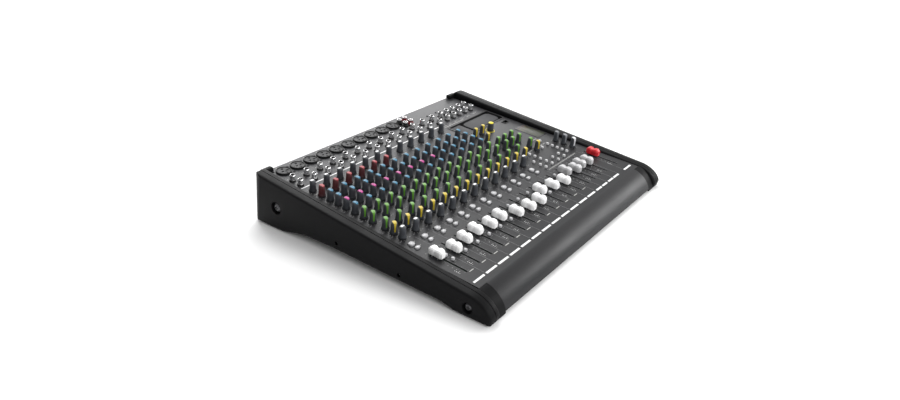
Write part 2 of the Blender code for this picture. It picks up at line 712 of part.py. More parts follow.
def make_xlr_sockets(frame):
    """Ten sockets on one board, each a round flange on the panel, a cup through it and the insert inside."""
    floor = -XLR_DEPTH
    places = xlr_places()
    bm = bmesh.new()
    put_box(bm, (places[0][0] - XLR_CUP_R, XLR_ROW - 0.009, floor - BOARD),
            (places[-1][0] + XLR_CUP_R, XLR_ROW + 0.009, floor))
    board = add_object("xlr_sockets", mesh_from(bm, "xlr_sockets"), BLACK_PLASTIC, frame)
    stages = [
        ("UNION", lambda bm, p: put_prism(bm, p, floor - BOARD / 2, 0.0010, XLR_CUP_R, 8, turn=FLATS_8)),
        ("UNION", lambda bm, p: put_prism(bm, p, GAP, XLR_FLANGE_TOP, XLR_FLANGE_R, 16)),
        ("DIFFERENCE", lambda bm, p: put_prism(bm, p, floor + 0.006, 0.006, XLR_MOUTH_R, 12)),
        ("UNION", lambda bm, p: put_prism(bm, p, floor + 0.004, XLR_POST_TOP, XLR_POST_R, 8, turn=FLATS_8)),
    ]
    for number, (operation, put) in enumerate(stages):
        bm = bmesh.new()
        for place in places:
            put(bm, place)
        stage = add_object(f"xlr_stage_{number}", mesh_from(bm, "xlr"), parent=frame, cutter=True)
        boolean(board, stage, operation)


def make_rca_sockets(frame):
    x, y = RCA_CENTRE
    half = RCA_PITCH / 2 + RCA_R + 0.0003
    bm = bmesh.new()
    put_box(bm, (x - half, y - half, -0.0110), (x + half, y + half, 0.0012))
    block = add_object("rca_sockets", mesh_from(bm, "rca_sockets"), ((0.030, 0.030, 0.031), 0.45), frame)
    for number, (operation, low, high, radius) in enumerate((
            ("UNION", 0.0006, 0.0085, RCA_R), ("DIFFERENCE", 0.0005, 0.0100, RCA_R - 0.0009),
            ("UNION", 0.0002, 0.0080, 0.0019))):
        bm = bmesh.new()
        for place in rca_places():
            put_prism(bm, place, low, high, radius, 8, turn=FLATS_8)
        stage = add_object(f"rca_stage_{number}", mesh_from(bm, "rca"), parent=frame, cutter=True)
        boolean(block, stage, operation)


def make_usb_socket(frame):
    """A metal shell with its mouth up and a contact tongue at the bottom of the mouth."""
    x, y = USB_CENTRE
    w, h = USB_SIZE[0] / 2, USB_SIZE[1] / 2
    bm = bmesh.new()
    put_box(bm, (x - w, y - h, -0.0120), (x + w, y + h, 0.0010))
    socket = add_object("usb_socket", mesh_from(bm, "usb_socket"), CHROME, frame)
    bm = bmesh.new()
    put_box(bm, (x - w + 0.0010, y - h + 0.0010, -0.0110), (x + w - 0.0010, y + h - 0.0010, 0.0020))
    boolean(socket, add_object("usb_mouth", mesh_from(bm, "usb_mouth"), parent=frame, cutter=True))
    bm = bmesh.new()
    put_box(bm, (x - w + 0.0025, y - 0.0010, -0.0115), (x + w - 0.0025, y + 0.0010, -0.0070))
    boolean(socket, add_object("usb_tongue", mesh_from(bm, "tongue"), parent=frame, cutter=True), "UNION")


def make_device_tray(frame):
    """The sunk tray for a phone, with its raised pad."""
    x0, x1, y0, y1 = TRAY
    bm = bmesh.new()
    put_box(bm, (x0, y0, -TRAY_DEPTH - 0.0015), (x1, y1, 0.0003))
    tray = add_object("device_tray", mesh_from(bm, "device_tray"), BLACK_PLASTIC, frame)
    bm = bmesh.new()
    put_box(bm, (x0 + 0.0015, y0 + 0.0015, -TRAY_DEPTH), (x1 - 0.0015, y1 - 0.0015, 0.002))
    boolean(tray, add_object("tray_hollow", mesh_from(bm, "tray_hollow"), parent=frame, cutter=True))
    bm = bmesh.new()
    put_box(bm, (x0 + 0.0340, y0 + 0.0090, -TRAY_DEPTH - 0.0008),
            (x1 - 0.0035, y1 - 0.0060, -TRAY_DEPTH + 0.0015))
    boolean(tray, add_object("tray_pad", mesh_from(bm, "tray_pad"), parent=frame, cutter=True), "UNION")


def make_level_meter(frame):
    x0, x1, y0, y1 = METER
    bm = bmesh.new()
    put_box(bm, (x0, y0, -0.0100), (x1, y1, 0.0006))
    add_object("level_meter", mesh_from(bm, "level_meter"), ((0.020, 0.022, 0.020), 0.25), frame)


def make_rear_body(name, x, stages):
    """A fitting in the rear wall, built from boxes: each stage is an operation, a size, near and far."""
    bm = bmesh.new()
    _, size, near, far = stages[0]
    put_rear_box(bm, x, *size, near, far)
    body = add_object(name, mesh_from(bm, name), BLACK_PLASTIC)
    for number, (operation, size, near, far) in enumerate(stages[1:]):
        bm = bmesh.new()
        put_rear_box(bm, x, *size, near, far)
        extra = add_object(f"{name}_stage_{number}", mesh_from(bm, name), cutter=True)
        boolean(body, extra, operation)
    return body


def make_mains_parts():
    """Mains inlet, switch with its rocker, power supply and effects board."""
    inlet = make_rear_body("iec_inlet", IEC_X, (
        ("UNION", IEC_BODY, -0.0220, 0.0008), ("UNION", IEC_FLANGE, GAP, 0.0025),
        ("DIFFERENCE", IEC_MOUTH, -0.0160, 0.0060)))
    bm = bmesh.new()
    for x, drop in IEC_PINS:
        put_rear_box(bm, IEC_X + x, 0.0020, 0.0040, -0.0180, -0.0020, REAR_FIT_Z - drop)
    boolean(inlet, add_object("iec_pins", mesh_from(bm, "iec_pins"), cutter=True), "UNION")
    make_rear_body("power_switch_body", SWITCH_X, (
        ("UNION", SWITCH_BODY, -0.0160, 0.0006), ("UNION", SWITCH_FLANGE, GAP, 0.0020),
        ("DIFFERENCE", SWITCH_WELL, -0.0120, 0.0060)))

    # The rocker's flat V: the half on the left stands proud, and the piece turns about its upright pin.
    outline = [(-0.0060, 0.0040), (-0.0060, 0.0072), (0.0, 0.0062), (0.0060, 0.0056), (0.0060, 0.0030),
               (0.0020, -0.0030), (-0.0020, -0.0030)]
    add_object("power_rocker", outline_mesh("power_rocker", outline[::-1], ROCKER_HEIGHT), BLACK_PLASTIC,
               place=(SWITCH_X, PAN_REAR - ROCKER_PIVOT, REAR_FIT_Z))

    bm = bmesh.new()
    put_box(bm, (0.060, 0.128, 0.0175), (0.190, 0.178, 0.0191))
    supply = add_object("power_supply", mesh_from(bm, "power_supply"), BOARD_GREEN)
    bm = bmesh.new()
    put_box(bm, (0.070, 0.134, 0.0184), (0.106, 0.170, 0.0420))
    put_box(bm, (0.120, 0.138, 0.0184), (0.136, 0.154, 0.0380))
    put_box(bm, (0.150, 0.138, 0.0184), (0.153, 0.170, 0.0340))
    boolean(supply, add_object("supply_parts", mesh_from(bm, "supply_parts"), cutter=True), "UNION")

    bm = bmesh.new()
    put_box(bm, (0.110, -0.010, 0.0165), (0.200, 0.060, 0.0181))
    effects = add_object("effects_board", mesh_from(bm, "effects_board"), BOARD_GREEN)
    bm = bmesh.new()
    put_box(bm, (0.130, 0.010, 0.0174), (0.150, 0.030, 0.0200))
    put_box(bm, (0.165, 0.015, 0.0174), (0.177, 0.025, 0.0195))
    boolean(effects, add_object("effects_chips", mesh_from(bm, "effects_chips"), cutter=True), "UNION")


# moving pieces

def make_fader(name, frame, x, level, look):
    """A cap with a finger saddle across it, on the blade of its sliding potentiometer."""
    half, height, foot = CAP_LENGTH / 2, CAP_HEIGHT, CAP_FOOT
    low = height - 0.0042
    saddle = bezier((-0.0062, height), (-0.0030, low), (0.0030, low), (0.0062, height), 4)
    outline = [(half, foot), (half, 0.0058), (0.0088, height - 0.0006)] + saddle[::-1]
    outline += [(-0.0088, height - 0.0006), (-half, 0.0058), (-half, foot)]
    mesh = outline_mesh(name, outline, CAP_WIDTH)
    turn_up(mesh)
    cap = add_object(name, mesh, look, frame, (x, level, 0))
    bm = bmesh.new()
    put_box(bm, (-LEVER_WIDTH / 2, -LEVER_LENGTH / 2, LEVER_END),
            (LEVER_WIDTH / 2, LEVER_LENGTH / 2, foot + 0.003))
    blade = add_object(name + "_blade", mesh_from(bm, name), parent=frame, place=cap.location, cutter=True)
    boolean(cap, blade, "UNION")


def turn_up(mesh):
    """Turns an outline drawn as (slope, normal) so that it stands across X."""
    mesh.transform(Matrix(((0, 0, 1, 0), (1, 0, 0, 0), (0, 1, 0, 0), (0, 0, 0, 1))))


def make_knob(name, frame, place, look, base=KNOB_BASE_R, top=KNOB_TOP_R, height=KNOB_TOP):
    """A tapered knob with a skirt, on the shaft that runs down to its potentiometer."""
    profile = [(0, height), (top - 0.0006, height), (top, height - 0.0006), (base - 0.0003, 0.0034),
               (base + 0.0004, 0.0026), (base + 0.0004, KNOB_FOOT), (SHAFT_R, KNOB_FOOT),
               (SHAFT_R, SHAFT_END), (0, SHAFT_END)]
    turned(name, profile, look, frame, (place[0], place[1], 0), 10)


def make_button(name, frame, place, size):
    """A push button: cap, collar under the panel and stem down to its switch."""
    bm = bmesh.new()
    if isinstance(size, float):
        put_prism(bm, (0, 0), STEM_END, BUTTON_TOP, size, 10)
    else:
        put_box(bm, (-size[0] / 2, -size[1] / 2, -0.0050), (size[0] / 2, size[1] / 2, BUTTON_TOP))
    button = add_object(name, mesh_from(bm, name), BUTTON_GREY, frame, (place[0], place[1], 0))
    if not isinstance(size, float):
        bm = bmesh.new()
        put_box(bm, (-0.0015, -0.0015, STEM_END), (0.0015, 0.0015, -0.0045))
        stem = mesh_from(bm, name)
        stem = add_object(name + "_stem", stem, parent=frame, place=button.location, cutter=True)
        boolean(button, stem, "UNION")


def make_moving_pieces(frame):
    for name, x, level, look in fader_places():
        make_fader(name, frame, x, level, look)
    for row, place in channel_knobs(0).items():
        make_knob(f"channel_01_{row}_knob", frame, place, KNOB_COLOURS[row])
    make_knob("effects_encoder", frame, ENCODER, ((0.52, 0.42, 0.05), 0.45), 0.0066, 0.0060)
    for name, y in zip(("phones", "control_room", "monitor"), MONITOR_ROWS):
        make_knob(f"{name}_knob", frame, (MAIN_X, y), DARK_SLATE)
    for name, (place, size) in channel_buttons(0).items():
        make_button(f"channel_01_{name}_button", frame, place, size)


def main():
    clear_scene()
    frame = bpy.data.objects.new("panel_frame", None)
    frame.location = PANEL_ORIGIN
    frame.rotation_euler = (TILT, 0, 0)
    console.objects.link(frame)
    make_top_panel(frame)
    make_cheek("left_cheek", -1)
    make_cheek("right_cheek", 1)
    make_feet()
    make_base_pan()
    make_boards(frame)
    make_jack_board(frame)
    make_xlr_sockets(frame)
    make_rca_sockets(frame)
    make_usb_socket(frame)
    make_device_tray(frame)
    make_level_meter(frame)
    make_mains_parts()
    make_moving_pieces(frame)


main()
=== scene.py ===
import math

import bmesh
import bpy
from mathutils import Matrix, Vector
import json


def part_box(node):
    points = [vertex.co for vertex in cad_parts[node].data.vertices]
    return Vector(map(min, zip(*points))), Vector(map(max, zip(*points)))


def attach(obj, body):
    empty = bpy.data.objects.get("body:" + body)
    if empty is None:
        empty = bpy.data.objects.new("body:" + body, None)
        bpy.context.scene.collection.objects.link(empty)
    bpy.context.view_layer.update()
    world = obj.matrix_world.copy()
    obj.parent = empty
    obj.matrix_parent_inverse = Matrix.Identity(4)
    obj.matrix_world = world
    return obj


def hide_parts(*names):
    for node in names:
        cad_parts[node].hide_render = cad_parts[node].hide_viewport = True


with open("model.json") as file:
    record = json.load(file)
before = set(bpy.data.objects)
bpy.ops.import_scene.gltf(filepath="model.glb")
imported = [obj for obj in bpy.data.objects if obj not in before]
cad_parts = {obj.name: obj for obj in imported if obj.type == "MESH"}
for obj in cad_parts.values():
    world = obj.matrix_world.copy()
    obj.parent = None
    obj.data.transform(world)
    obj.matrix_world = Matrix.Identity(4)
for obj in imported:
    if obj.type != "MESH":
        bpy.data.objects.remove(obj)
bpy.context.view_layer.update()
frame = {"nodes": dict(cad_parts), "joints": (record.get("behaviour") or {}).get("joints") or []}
nodes = frame["nodes"]
joints = {joint["name"]: joint for joint in frame["joints"]}
print("frame loaded:", len(nodes), "nodes")

# lengths in metres on the sloping panel: x across, y up the slope, z out of it
desk = {
    "tilt": math.radians(5.32),
    "origin": (0.0, -0.1711, 0.0338),
    "pitch": 0.027,
    "firstEdge": -0.2255,
    "channels": 12,
    "compressorChannels": 6,
    "faderLow": 0.020,
    "faderTravel": 0.060,
}
panelPlace = Matrix.Translation(desk["origin"]) @ Matrix.Rotation(desk["tilt"], 4, "X")
panelNormal = panelPlace.to_3x3() @ Vector((0, 0, 1))


def onPanel(point):
    return panelPlace.inverted() @ Vector(point)


def channelEdge(channel):
    return desk["firstEdge"] + channel * desk["pitch"]


knobNames = ("pan", "effects_send", "aux_3", "aux_2", "aux_1", "low",
             "mid_frequency", "mid", "high", "compressor", "gain")
knobSpots = {name: onPanel(joints[f"channel_01_{name}_turn"]["pos_m"]) for name in knobNames}
knobRows = {name: spot.y for name, spot in knobSpots.items()}
knobX = knobSpots["pan"].x - desk["firstEdge"]


# shader sheets

def paint(red, green, blue):  # screen values 0-255 to the linear colour the sockets take
    def straight(value):
        value /= 255
        return value / 12.92 if value <= 0.04045 else ((value + 0.055) / 1.055) ** 2.4
    return (straight(red), straight(green), straight(blue), 1.0)


class Wire:
    def __init__(self, sheet, socket):
        self.sheet, self.socket = sheet, socket

    def maths(self, operation, first, second):
        return self.sheet.node("ShaderNodeMath", {"operation": operation}, {0: first, 1: second})

    def __add__(self, other):
        return self.maths("ADD", self, other)

    def __radd__(self, other):
        return self.maths("ADD", other, self)

    def __sub__(self, other):
        return self.maths("SUBTRACT", self, other)

    def __rsub__(self, other):
        return self.maths("SUBTRACT", other, self)

    def __mul__(self, other):
        return self.maths("MULTIPLY", self, other)

    def __rmul__(self, other):
        return self.maths("MULTIPLY", other, self)

    def __gt__(self, other):
        return self.maths("GREATER_THAN", self, other)

    def __lt__(self, other):
        return self.maths("LESS_THAN", self, other)


class Sheet:
    def __init__(self, name, **plain):
        self.material = bpy.data.materials.new(name)
        self.material.use_nodes = True
        self.tree = self.material.node_tree
        self.tree.nodes.clear()
        self.shader = self.tree.nodes.new("ShaderNodeBsdfPrincipled")
        out = self.tree.nodes.new("ShaderNodeOutputMaterial")
        self.tree.links.new(self.shader.outputs[0], out.inputs[0])
        for name, value in plain.items():
            self.shader.inputs[name.replace("_", " ")].default_value = value

    def node(self, kind, settings=None, values=None, take=0):
        made = self.tree.nodes.new(kind)
        for name, value in (settings or {}).items():
            setattr(made, name, value)
        for name, value in (values or {}).items():
            if isinstance(value, Wire):
                self.tree.links.new(value.socket, made.inputs[name])
            else:
                made.inputs[name].default_value = value
        return Wire(self, made.outputs[take])

    def feed(self, name, wire):
        self.tree.links.new(wire.socket, self.shader.inputs[name])

    def place(self):
        return self.node("ShaderNodeTexCoord", take="Object")

    def noise(self, size, detail=3.0, where=None):  # size is the width of one blotch, in metres
        return self.node("ShaderNodeTexNoise", {}, {"Vector": where or self.place(), "Scale": 1 / size,
                                                    "Detail": detail}, "Fac")

    def spread(self, value, low, high, fromLow=0.3, fromHigh=0.7):
        return self.node("ShaderNodeMapRange", {}, {"Value": value, "From Min": fromLow, "From Max": fromHigh,
                                                    "To Min": low, "To Max": high})

    def blend(self, share, first, second):
        return self.node("ShaderNodeMix", {"data_type": "RGBA", "clamp_factor": True},
                         {0: share, 6: first, 7: second}, 2)

    def own(self, name, take="Fac"):  # an attribute that the piece's own mesh carries
        return self.node("ShaderNodeAttribute", {"attribute_name": name}, {}, take)

    def bump(self, height, depth, strength=1.0):
        self.feed("Normal", self.node("ShaderNodeBump", {}, {"Height": height, "Distance": depth,
                                                             "Strength": strength}))


def mouldedPlastic(name, dark, light, rough=(0.42, 0.56), grain=0.0004, depth=0.00004, blotch=0.03, **plain):
    sheet = Sheet(name, **plain)
    cloud = sheet.noise(blotch, 4)
    fine = sheet.noise(grain, 2)
    sheet.feed("Base Color", sheet.blend(sheet.spread(cloud * 0.7 + fine * 0.3, 0, 1), dark, light))
    sheet.feed("Roughness", sheet.spread(cloud, *rough))
    sheet.bump(fine, depth, 0.5)
    return sheet


def tintedPlastic(name, rough=(0.35, 0.48), gain=0.16, **plain):  # colour comes with the mesh, as "tint"
    sheet = Sheet(name, **plain)
    tint = sheet.own("tint", "Color")
    cloud = sheet.noise(0.006, 3)
    sheet.feed("Base Color", sheet.blend(sheet.spread(cloud, 0, gain), tint, paint(20, 20, 22)))
    sheet.feed("Roughness", sheet.spread(cloud, *rough))
    sheet.bump(sheet.noise(0.0005, 2), 0.00002, 0.4)
    return sheet


def plate(name, dark, light, rough=(0.2, 0.34), **plain):  # plated or painted metal
    sheet = Sheet(name, **plain)
    cloud = sheet.noise(0.004, 4)
    scratch = sheet.noise(0.0006, 2, sheet.node("ShaderNodeMapping", {}, {"Vector": sheet.place(),
                                                                         "Scale": (1.0, 14.0, 1.0)}))
    sheet.feed("Base Color", sheet.blend(sheet.spread(cloud, 0, 1), dark, light))
    sheet.feed("Roughness", sheet.spread(cloud * 0.6 + scratch * 0.4, *rough))
    sheet.bump(scratch, 0.00001, 0.3)
    return sheet


panelLook = {
    # the rear tones carry a painted sheen and the front tones painted shade
    "rear": (paint(60, 60, 62), paint(74, 74, 76)),
    "front": (paint(22, 22, 24), paint(31, 31, 33)),
    "rearAt": 0.20, "frontAt": -0.12,  # where along Y each tone is reached: a painted sheen, lighter towards the rear and darker towards the front
    "fleck": 0.0007,  # width of one fleck of the powder coat
    "rough": (0.36, 0.46),
}


def makePanelPaintAndSheen():
    sheet = Sheet("panelPaint", Metallic=0.1, Specular_IOR_Level=0.24)
    fleck = sheet.noise(panelLook["fleck"], 2)
    cloud = sheet.noise(0.09, 3)
    share = sheet.spread(fleck * 0.55 + cloud * 0.45, 0, 1, 0.35, 0.65)
    # painted sheen: along Y the base colour turns from the dark front tones to the light rear tones
    up = sheet.node("ShaderNodeSeparateXYZ", {}, {0: sheet.place()}, "Y")
    sheenShare = sheet.spread(up, 0, 1, panelLook["frontAt"], panelLook["rearAt"])
    sheet.feed("Base Color", sheet.blend(sheenShare, sheet.blend(share, *panelLook["front"]),
                                         sheet.blend(share, *panelLook["rear"])))
    sheet.feed("Roughness", sheet.spread(cloud, *panelLook["rough"]))
    sheet.bump(fleck, 0.00003, 0.35)
    return sheet


knobLook = {"ribs": 24, "ribDepth": 0.00008, "gripFrom": 0.0044, "gripTo": 0.0160}


def makeKnobPlastic():
    sheet = Sheet("knobPlastic", Specular_IOR_Level=0.35)
    body, stripe, part = sheet.own("bodyTint", "Color"), sheet.own("tint", "Color"), sheet.own("part")
    spot = sheet.node("ShaderNodeSeparateXYZ", {}, {0: sheet.own("local", "Vector")})
    across, height = spot, Wire(sheet, spot.socket.node.outputs["Z"])
    along = Wire(sheet, spot.socket.node.outputs["Y"])
    turn = sheet.node("ShaderNodeMath", {"operation": "ARCTAN2"}, {0: along, 1: across})
    ribs = sheet.node("ShaderNodeMath", {"operation": "SINE"}, {0: turn * knobLook["ribs"]})
    grip = (height > knobLook["gripFrom"]) * (height < knobLook["gripTo"]) * (1 - (part > 0.5))
    dust = sheet.noise(0.003, 4)
    skirt = sheet.spread(height, 0.55, 0.0, 0.0020, 0.0060)
    plain = sheet.blend(skirt, body, paint(14, 14, 16))
    plain = sheet.blend(sheet.spread(dust, 0, 0.22), plain, paint(74, 80, 88))
    sheet.feed("Base Color", sheet.blend(part > 0.5, plain, stripe))
    sheet.feed("Roughness", sheet.spread(dust, 0.42, 0.60) - 0.10 * (part > 0.5))
    sheet.bump(ribs * grip, knobLook["ribDepth"], 0.6)
    return sheet


buttonLook = {"lineStep": 0.0011}  # step of the fine lines across a button's top


def makeButtonPlastic():
    sheet = Sheet("buttonPlastic", Specular_IOR_Level=0.5)
    place = sheet.own("local", "Vector")
    spot = sheet.node("ShaderNodeSeparateXYZ", {}, {0: place})
    height = Wire(sheet, spot.socket.node.outputs["Z"])
    middle = sheet.node("ShaderNodeVectorMath", {"operation": "LENGTH"}, {0: sheet.node(
        "ShaderNodeVectorMath", {"operation": "MULTIPLY"}, {0: place, 1: (1, 1, 0)})}, "Value")
    tint = sheet.own("tint", "Color")
    shadow = sheet.spread(height, 0.6, 0.0, 0.0004, 0.0014)
    # painted glow: the middle of a button's top is blended towards white
    paintedGlow = sheet.spread(middle, 0.55, 0.0, 0.0, 0.0014) * (height > 0.0024)
    lines = sheet.node("ShaderNodeMath", {"operation": "SINE"}, {0: Wire(
        sheet, spot.socket.node.outputs["Y"]) * (2 * math.pi / buttonLook["lineStep"])})
    milky = sheet.blend(sheet.spread(sheet.noise(0.002, 3), 0, 0.15), tint, paint(110, 110, 112))
    milky = sheet.blend((lines > 0.3) * (height > 0.0025) * (middle > 0.0012) * 0.6, milky, paint(96, 96, 98))
    milky = sheet.blend(shadow, milky, paint(70, 70, 72))
    sheet.feed("Base Color", sheet.blend(paintedGlow, milky, paint(232, 232, 232)))
    sheet.feed("Roughness", sheet.spread(sheet.noise(0.0015, 2), 0.28, 0.42))
    return sheet


finishes = {
    "panelPaint": makePanelPaintAndSheen(),
    "panPaint": plate("panPaint", paint(26, 26, 27), paint(36, 36, 37), (0.45, 0.6), Metallic=0.3),
    "cheekPlastic": mouldedPlastic("cheekPlastic", paint(15, 15, 16), paint(22, 22, 23), (0.40, 0.52),
                                   Specular_IOR_Level=0.06),
    "footRubber": mouldedPlastic("footRubber", paint(14, 14, 14), paint(24, 24, 24), (0.8, 0.95)),
    "boardLaminate": mouldedPlastic("boardLaminate", paint(12, 40, 24), paint(18, 56, 34), (0.4, 0.5)),
    "knobPlastic": makeKnobPlastic(),
    "buttonPlastic": makeButtonPlastic(),
    "capLine": mouldedPlastic("capLine", paint(10, 10, 10), paint(22, 22, 22), (0.4, 0.5)),
    "brightMetal": plate("brightMetal", paint(228, 228, 230), paint(250, 250, 250), (0.12, 0.24),
                         Metallic=1.0),
    "jackMetal": plate("jackMetal", paint(226, 226, 228), paint(250, 250, 250), (0.10, 0.20), Metallic=0.92),
    "boltMetal": plate("boltMetal", paint(74, 74, 76), paint(104, 104, 106), (0.22, 0.36), Metallic=0.9),
    "darkMetal": plate("darkMetal", paint(40, 40, 41), paint(62, 62, 64), (0.30, 0.45), Metallic=0.9),
    "socketPlastic": mouldedPlastic("socketPlastic", paint(14, 14, 15), paint(24, 24, 25), (0.36, 0.5),
                                    Specular_IOR_Level=0.25),
    "socketFace": mouldedPlastic("socketFace", paint(30, 30, 32), paint(40, 40, 42), (0.45, 0.6),
                                 Specular_IOR_Level=0.35),
    "linerPlastic": mouldedPlastic("linerPlastic", paint(5, 5, 5), paint(11, 11, 11), (0.5, 0.6)),
    "ink": tintedPlastic("ink", (0.55, 0.65), 0.10),
    "lens": tintedPlastic("lens", (0.15, 0.25), 0.10, Coat_Weight=0.5),
    "trayPlastic": mouldedPlastic("trayPlastic", paint(18, 18, 19), paint(28, 28, 29), (0.42, 0.55)),
    "trayPad": mouldedPlastic("trayPad", paint(50, 50, 52), paint(62, 62, 64), (0.65, 0.8), 0.0007, 0.00006),
    "meterGlass": mouldedPlastic("meterGlass", paint(30, 30, 31), paint(38, 38, 39), (0.28, 0.38), 0.0006,
                                 0.000005),
    "rockerPlastic": mouldedPlastic("rockerPlastic", paint(20, 20, 21), paint(30, 30, 31), (0.25, 0.35)),
}
finishes = {name: sheet.material for name, sheet in finishes.items()}
print("finishes:", len(finishes))


# mesh tools

def newShape():  # every vertex carries "part" and, from finishMesh, its own place on the shape
    bm = bmesh.new()
    bm.verts.layers.float.new("part")
    bm.verts.layers.float_vector.new("local")
    return bm


def spin(bm, profile, segments=24, part=0.0, wrap=False, centre=(0.0, 0.0)):
    mark = bm.verts.layers.float["part"]
    rings = []
    for radius, height in profile:
        ring = []
        for i in range(1 if radius < 1e-7 else segments):
            angle = 2 * math.pi * i / segments
            x, y = centre[0] + radius * math.cos(angle), centre[1] + radius * math.sin(angle)
            corner = bm.verts.new((x, y, height))
            corner[mark] = part
            ring.append(corner)
        rings.append(ring)
    stitch(bm, rings, segments, wrap)


def stitch(bm, rings, count, wrap=False, capped=False):
    for low, high in zip(rings, rings[1:] + (rings[:1] if wrap else [])):
        if low is rings[-1] and not wrap:
            break
        for i in range(count):
            j = (i + 1) % count
            corners = [low[i % len(low)], low[j % len(low)], high[j % len(high)], high[i % len(high)]]
            corners = list(dict.fromkeys(corners))
            if len(corners) > 2:
                bm.faces.new(corners)
    if capped:
        bm.faces.new(list(reversed(rings[0])))
        bm.faces.new(rings[-1])


def roundedRing(width, depth, radius, height, centre=(0.0, 0.0), steps=3):
    radius = min(radius, width / 2 - 1e-6, depth / 2 - 1e-6)
    ring = []
    for sx, sy, start in ((1, 1, 0), (-1, 1, 90), (-1, -1, 180), (1, -1, 270)):
        for i in range(steps + 1):
            angle = math.radians(start + 90 * i / steps)
            ring.append((centre[0] + sx * (width / 2 - radius) + radius * math.cos(angle),
                         centre[1] + sy * (depth / 2 - radius) + radius * math.sin(angle), height))
    return ring


def loft(bm, rings, part=0.0, wrap=False, capped=True):
    mark = bm.verts.layers.float["part"]
    rows = []
    for ring in rings:
        row = []
        for corner in ring:
            vertex = bm.verts.new(corner)
            vertex[mark] = part
            row.append(vertex)
        rows.append(row)
    stitch(bm, rows, len(rings[0]), wrap, capped and not wrap)


def block(bm, low, high, radius, edge, part=0.0):  # a box with rounded corners and eased top and bottom edges
    width, depth = high[0] - low[0], high[1] - low[1]
    centre = ((high[0] + low[0]) / 2, (high[1] + low[1]) / 2)
    rings = []
    for inset, height in ((edge, low[2]), (0, low[2] + edge), (0, high[2] - edge),
                          (edge * 0.3, high[2] - edge * 0.3), (edge, high[2])):
        corner = max(radius - inset, 1e-5)
        rings.append(roundedRing(width - 2 * inset, depth - 2 * inset, corner, height, centre))
    loft(bm, rings, part)


def finishMesh(bm, name, sharp=38, flat=None):
    local = bm.verts.layers.float_vector.get("local")
    bmesh.ops.recalc_face_normals(bm, faces=bm.faces)
    bm.normal_update()
    for vertex in bm.verts:
        if local:
            vertex[local] = vertex.co
    for face in bm.faces:
        face.smooth = True
    limit = math.radians(sharp)
    for edge in bm.edges:
        edge.smooth = len(edge.link_faces) == 2 and edge.calc_face_angle(0) < limit
        if flat and edge.smooth:  # a flat face keeps its own shading right up to a bend
            edge.smooth = len({face.normal.dot(flat) > 0.99999 for face in edge.link_faces}) == 1
    mesh = bpy.data.meshes.new(name)
    bm.to_mesh(mesh)
    bm.free()
    return mesh


def onDesk(bm, name, sharp=35):  # a finished mesh, moved from the panel's own place to the world
    mesh = finishMesh(bm, name, sharp)
    mesh.transform(panelPlace)
    return mesh


def newPiece(name, mesh, *looks):
    piece = bpy.data.objects.new(name, mesh)
    bpy.context.scene.collection.objects.link(piece)
    if looks:
        mesh.materials.clear()
        for look in looks:
            mesh.materials.append(finishes[look])
    return piece


def settle(piece, body="root", stands=()):
    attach(piece, body)
    if stands:
        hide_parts(*stands)
    return piece


def cutFrom(mesh, cutters, name):  # takes closed cutters out of a closed mesh
    target, tool = newPiece("cutTarget", mesh), newPiece("cutTool", cutters)
    trim = target.modifiers.new("trim", "BOOLEAN")
    trim.operation, trim.solver, trim.object = "DIFFERENCE", "EXACT", tool
    graph = bpy.context.evaluated_depsgraph_get()
    cut = bpy.data.meshes.new_from_object(target.evaluated_get(graph), depsgraph=graph)
    cut.name = name
    bpy.data.objects.remove(target)
    bpy.data.objects.remove(tool)
    return cut


# node trees for what repeats

def spot(x, y, z=0.0, turn=0.0, stretch=(1, 1, 1), tint=(1, 1, 1, 1), bodyTint=(0.03, 0.03, 0.03, 1)):
    return {"at": (x, y, z), "turn": turn, "stretch": stretch, "tint": tint, "bodyTint": bodyTint}


def spotMesh(spots):
    mesh = bpy.data.meshes.new("spots")
    mesh.from_pydata([item["at"] for item in spots], [], [])
    for key, kind, field in (("turn", "FLOAT", "value"), ("stretch", "FLOAT_VECTOR", "vector"),
                             ("tint", "FLOAT_COLOR", "color"), ("bodyTint", "FLOAT_COLOR", "color")):
        values = []
        for item in spots:
            values += [item[key]] if field == "value" else list(item[key])
        mesh.attributes.new(key, kind, "POINT").data.foreach_set(field, values)
    return mesh


class Tree:
    def __init__(self, name, **sockets):
        self.tree = bpy.data.node_groups.new(name, "GeometryNodeTree")
        self.tree.interface.new_socket("Geometry", in_out="INPUT", socket_type="NodeSocketGeometry")
        for title, (kind, value) in sockets.items():
            made = self.tree.interface.new_socket(title, in_out="INPUT", socket_type="NodeSocket" + kind)
            if value is not None:
                made.default_value = value
        self.tree.interface.new_socket("Geometry", in_out="OUTPUT", socket_type="NodeSocketGeometry")
        self.start = self.tree.nodes.new("NodeGroupInput").outputs
        self.end = self.tree.nodes.new("NodeGroupOutput").inputs

    def add(self, kind, settings=None, values=None, take=0):
        made = self.tree.nodes.new(kind)
        for name, value in (settings or {}).items():
            setattr(made, name, value)
        for name, value in (values or {}).items():
            if isinstance(value, bpy.types.NodeSocket):
                self.tree.links.new(value, made.inputs[name])
            else:
                made.inputs[name].default_value = value
        return made.outputs[take]

    def maths(self, operation, first, second=0.0):
        return self.add("ShaderNodeMath", {"operation": operation}, {0: first, 1: second})

    def carried(self, name, kind="FLOAT"):
        return self.add("GeometryNodeInputNamedAttribute", {"data_type": kind}, {"Name": name})

    def close(self, geometry):
        solid = self.add("GeometryNodeRealizeInstances", {}, {"Geometry": geometry})
        done = self.add("GeometryNodeSetMaterial", {}, {"Geometry": solid, "Material": self.start["Finish"]})
        self.tree.links.new(done, self.end[0])
        return self.tree


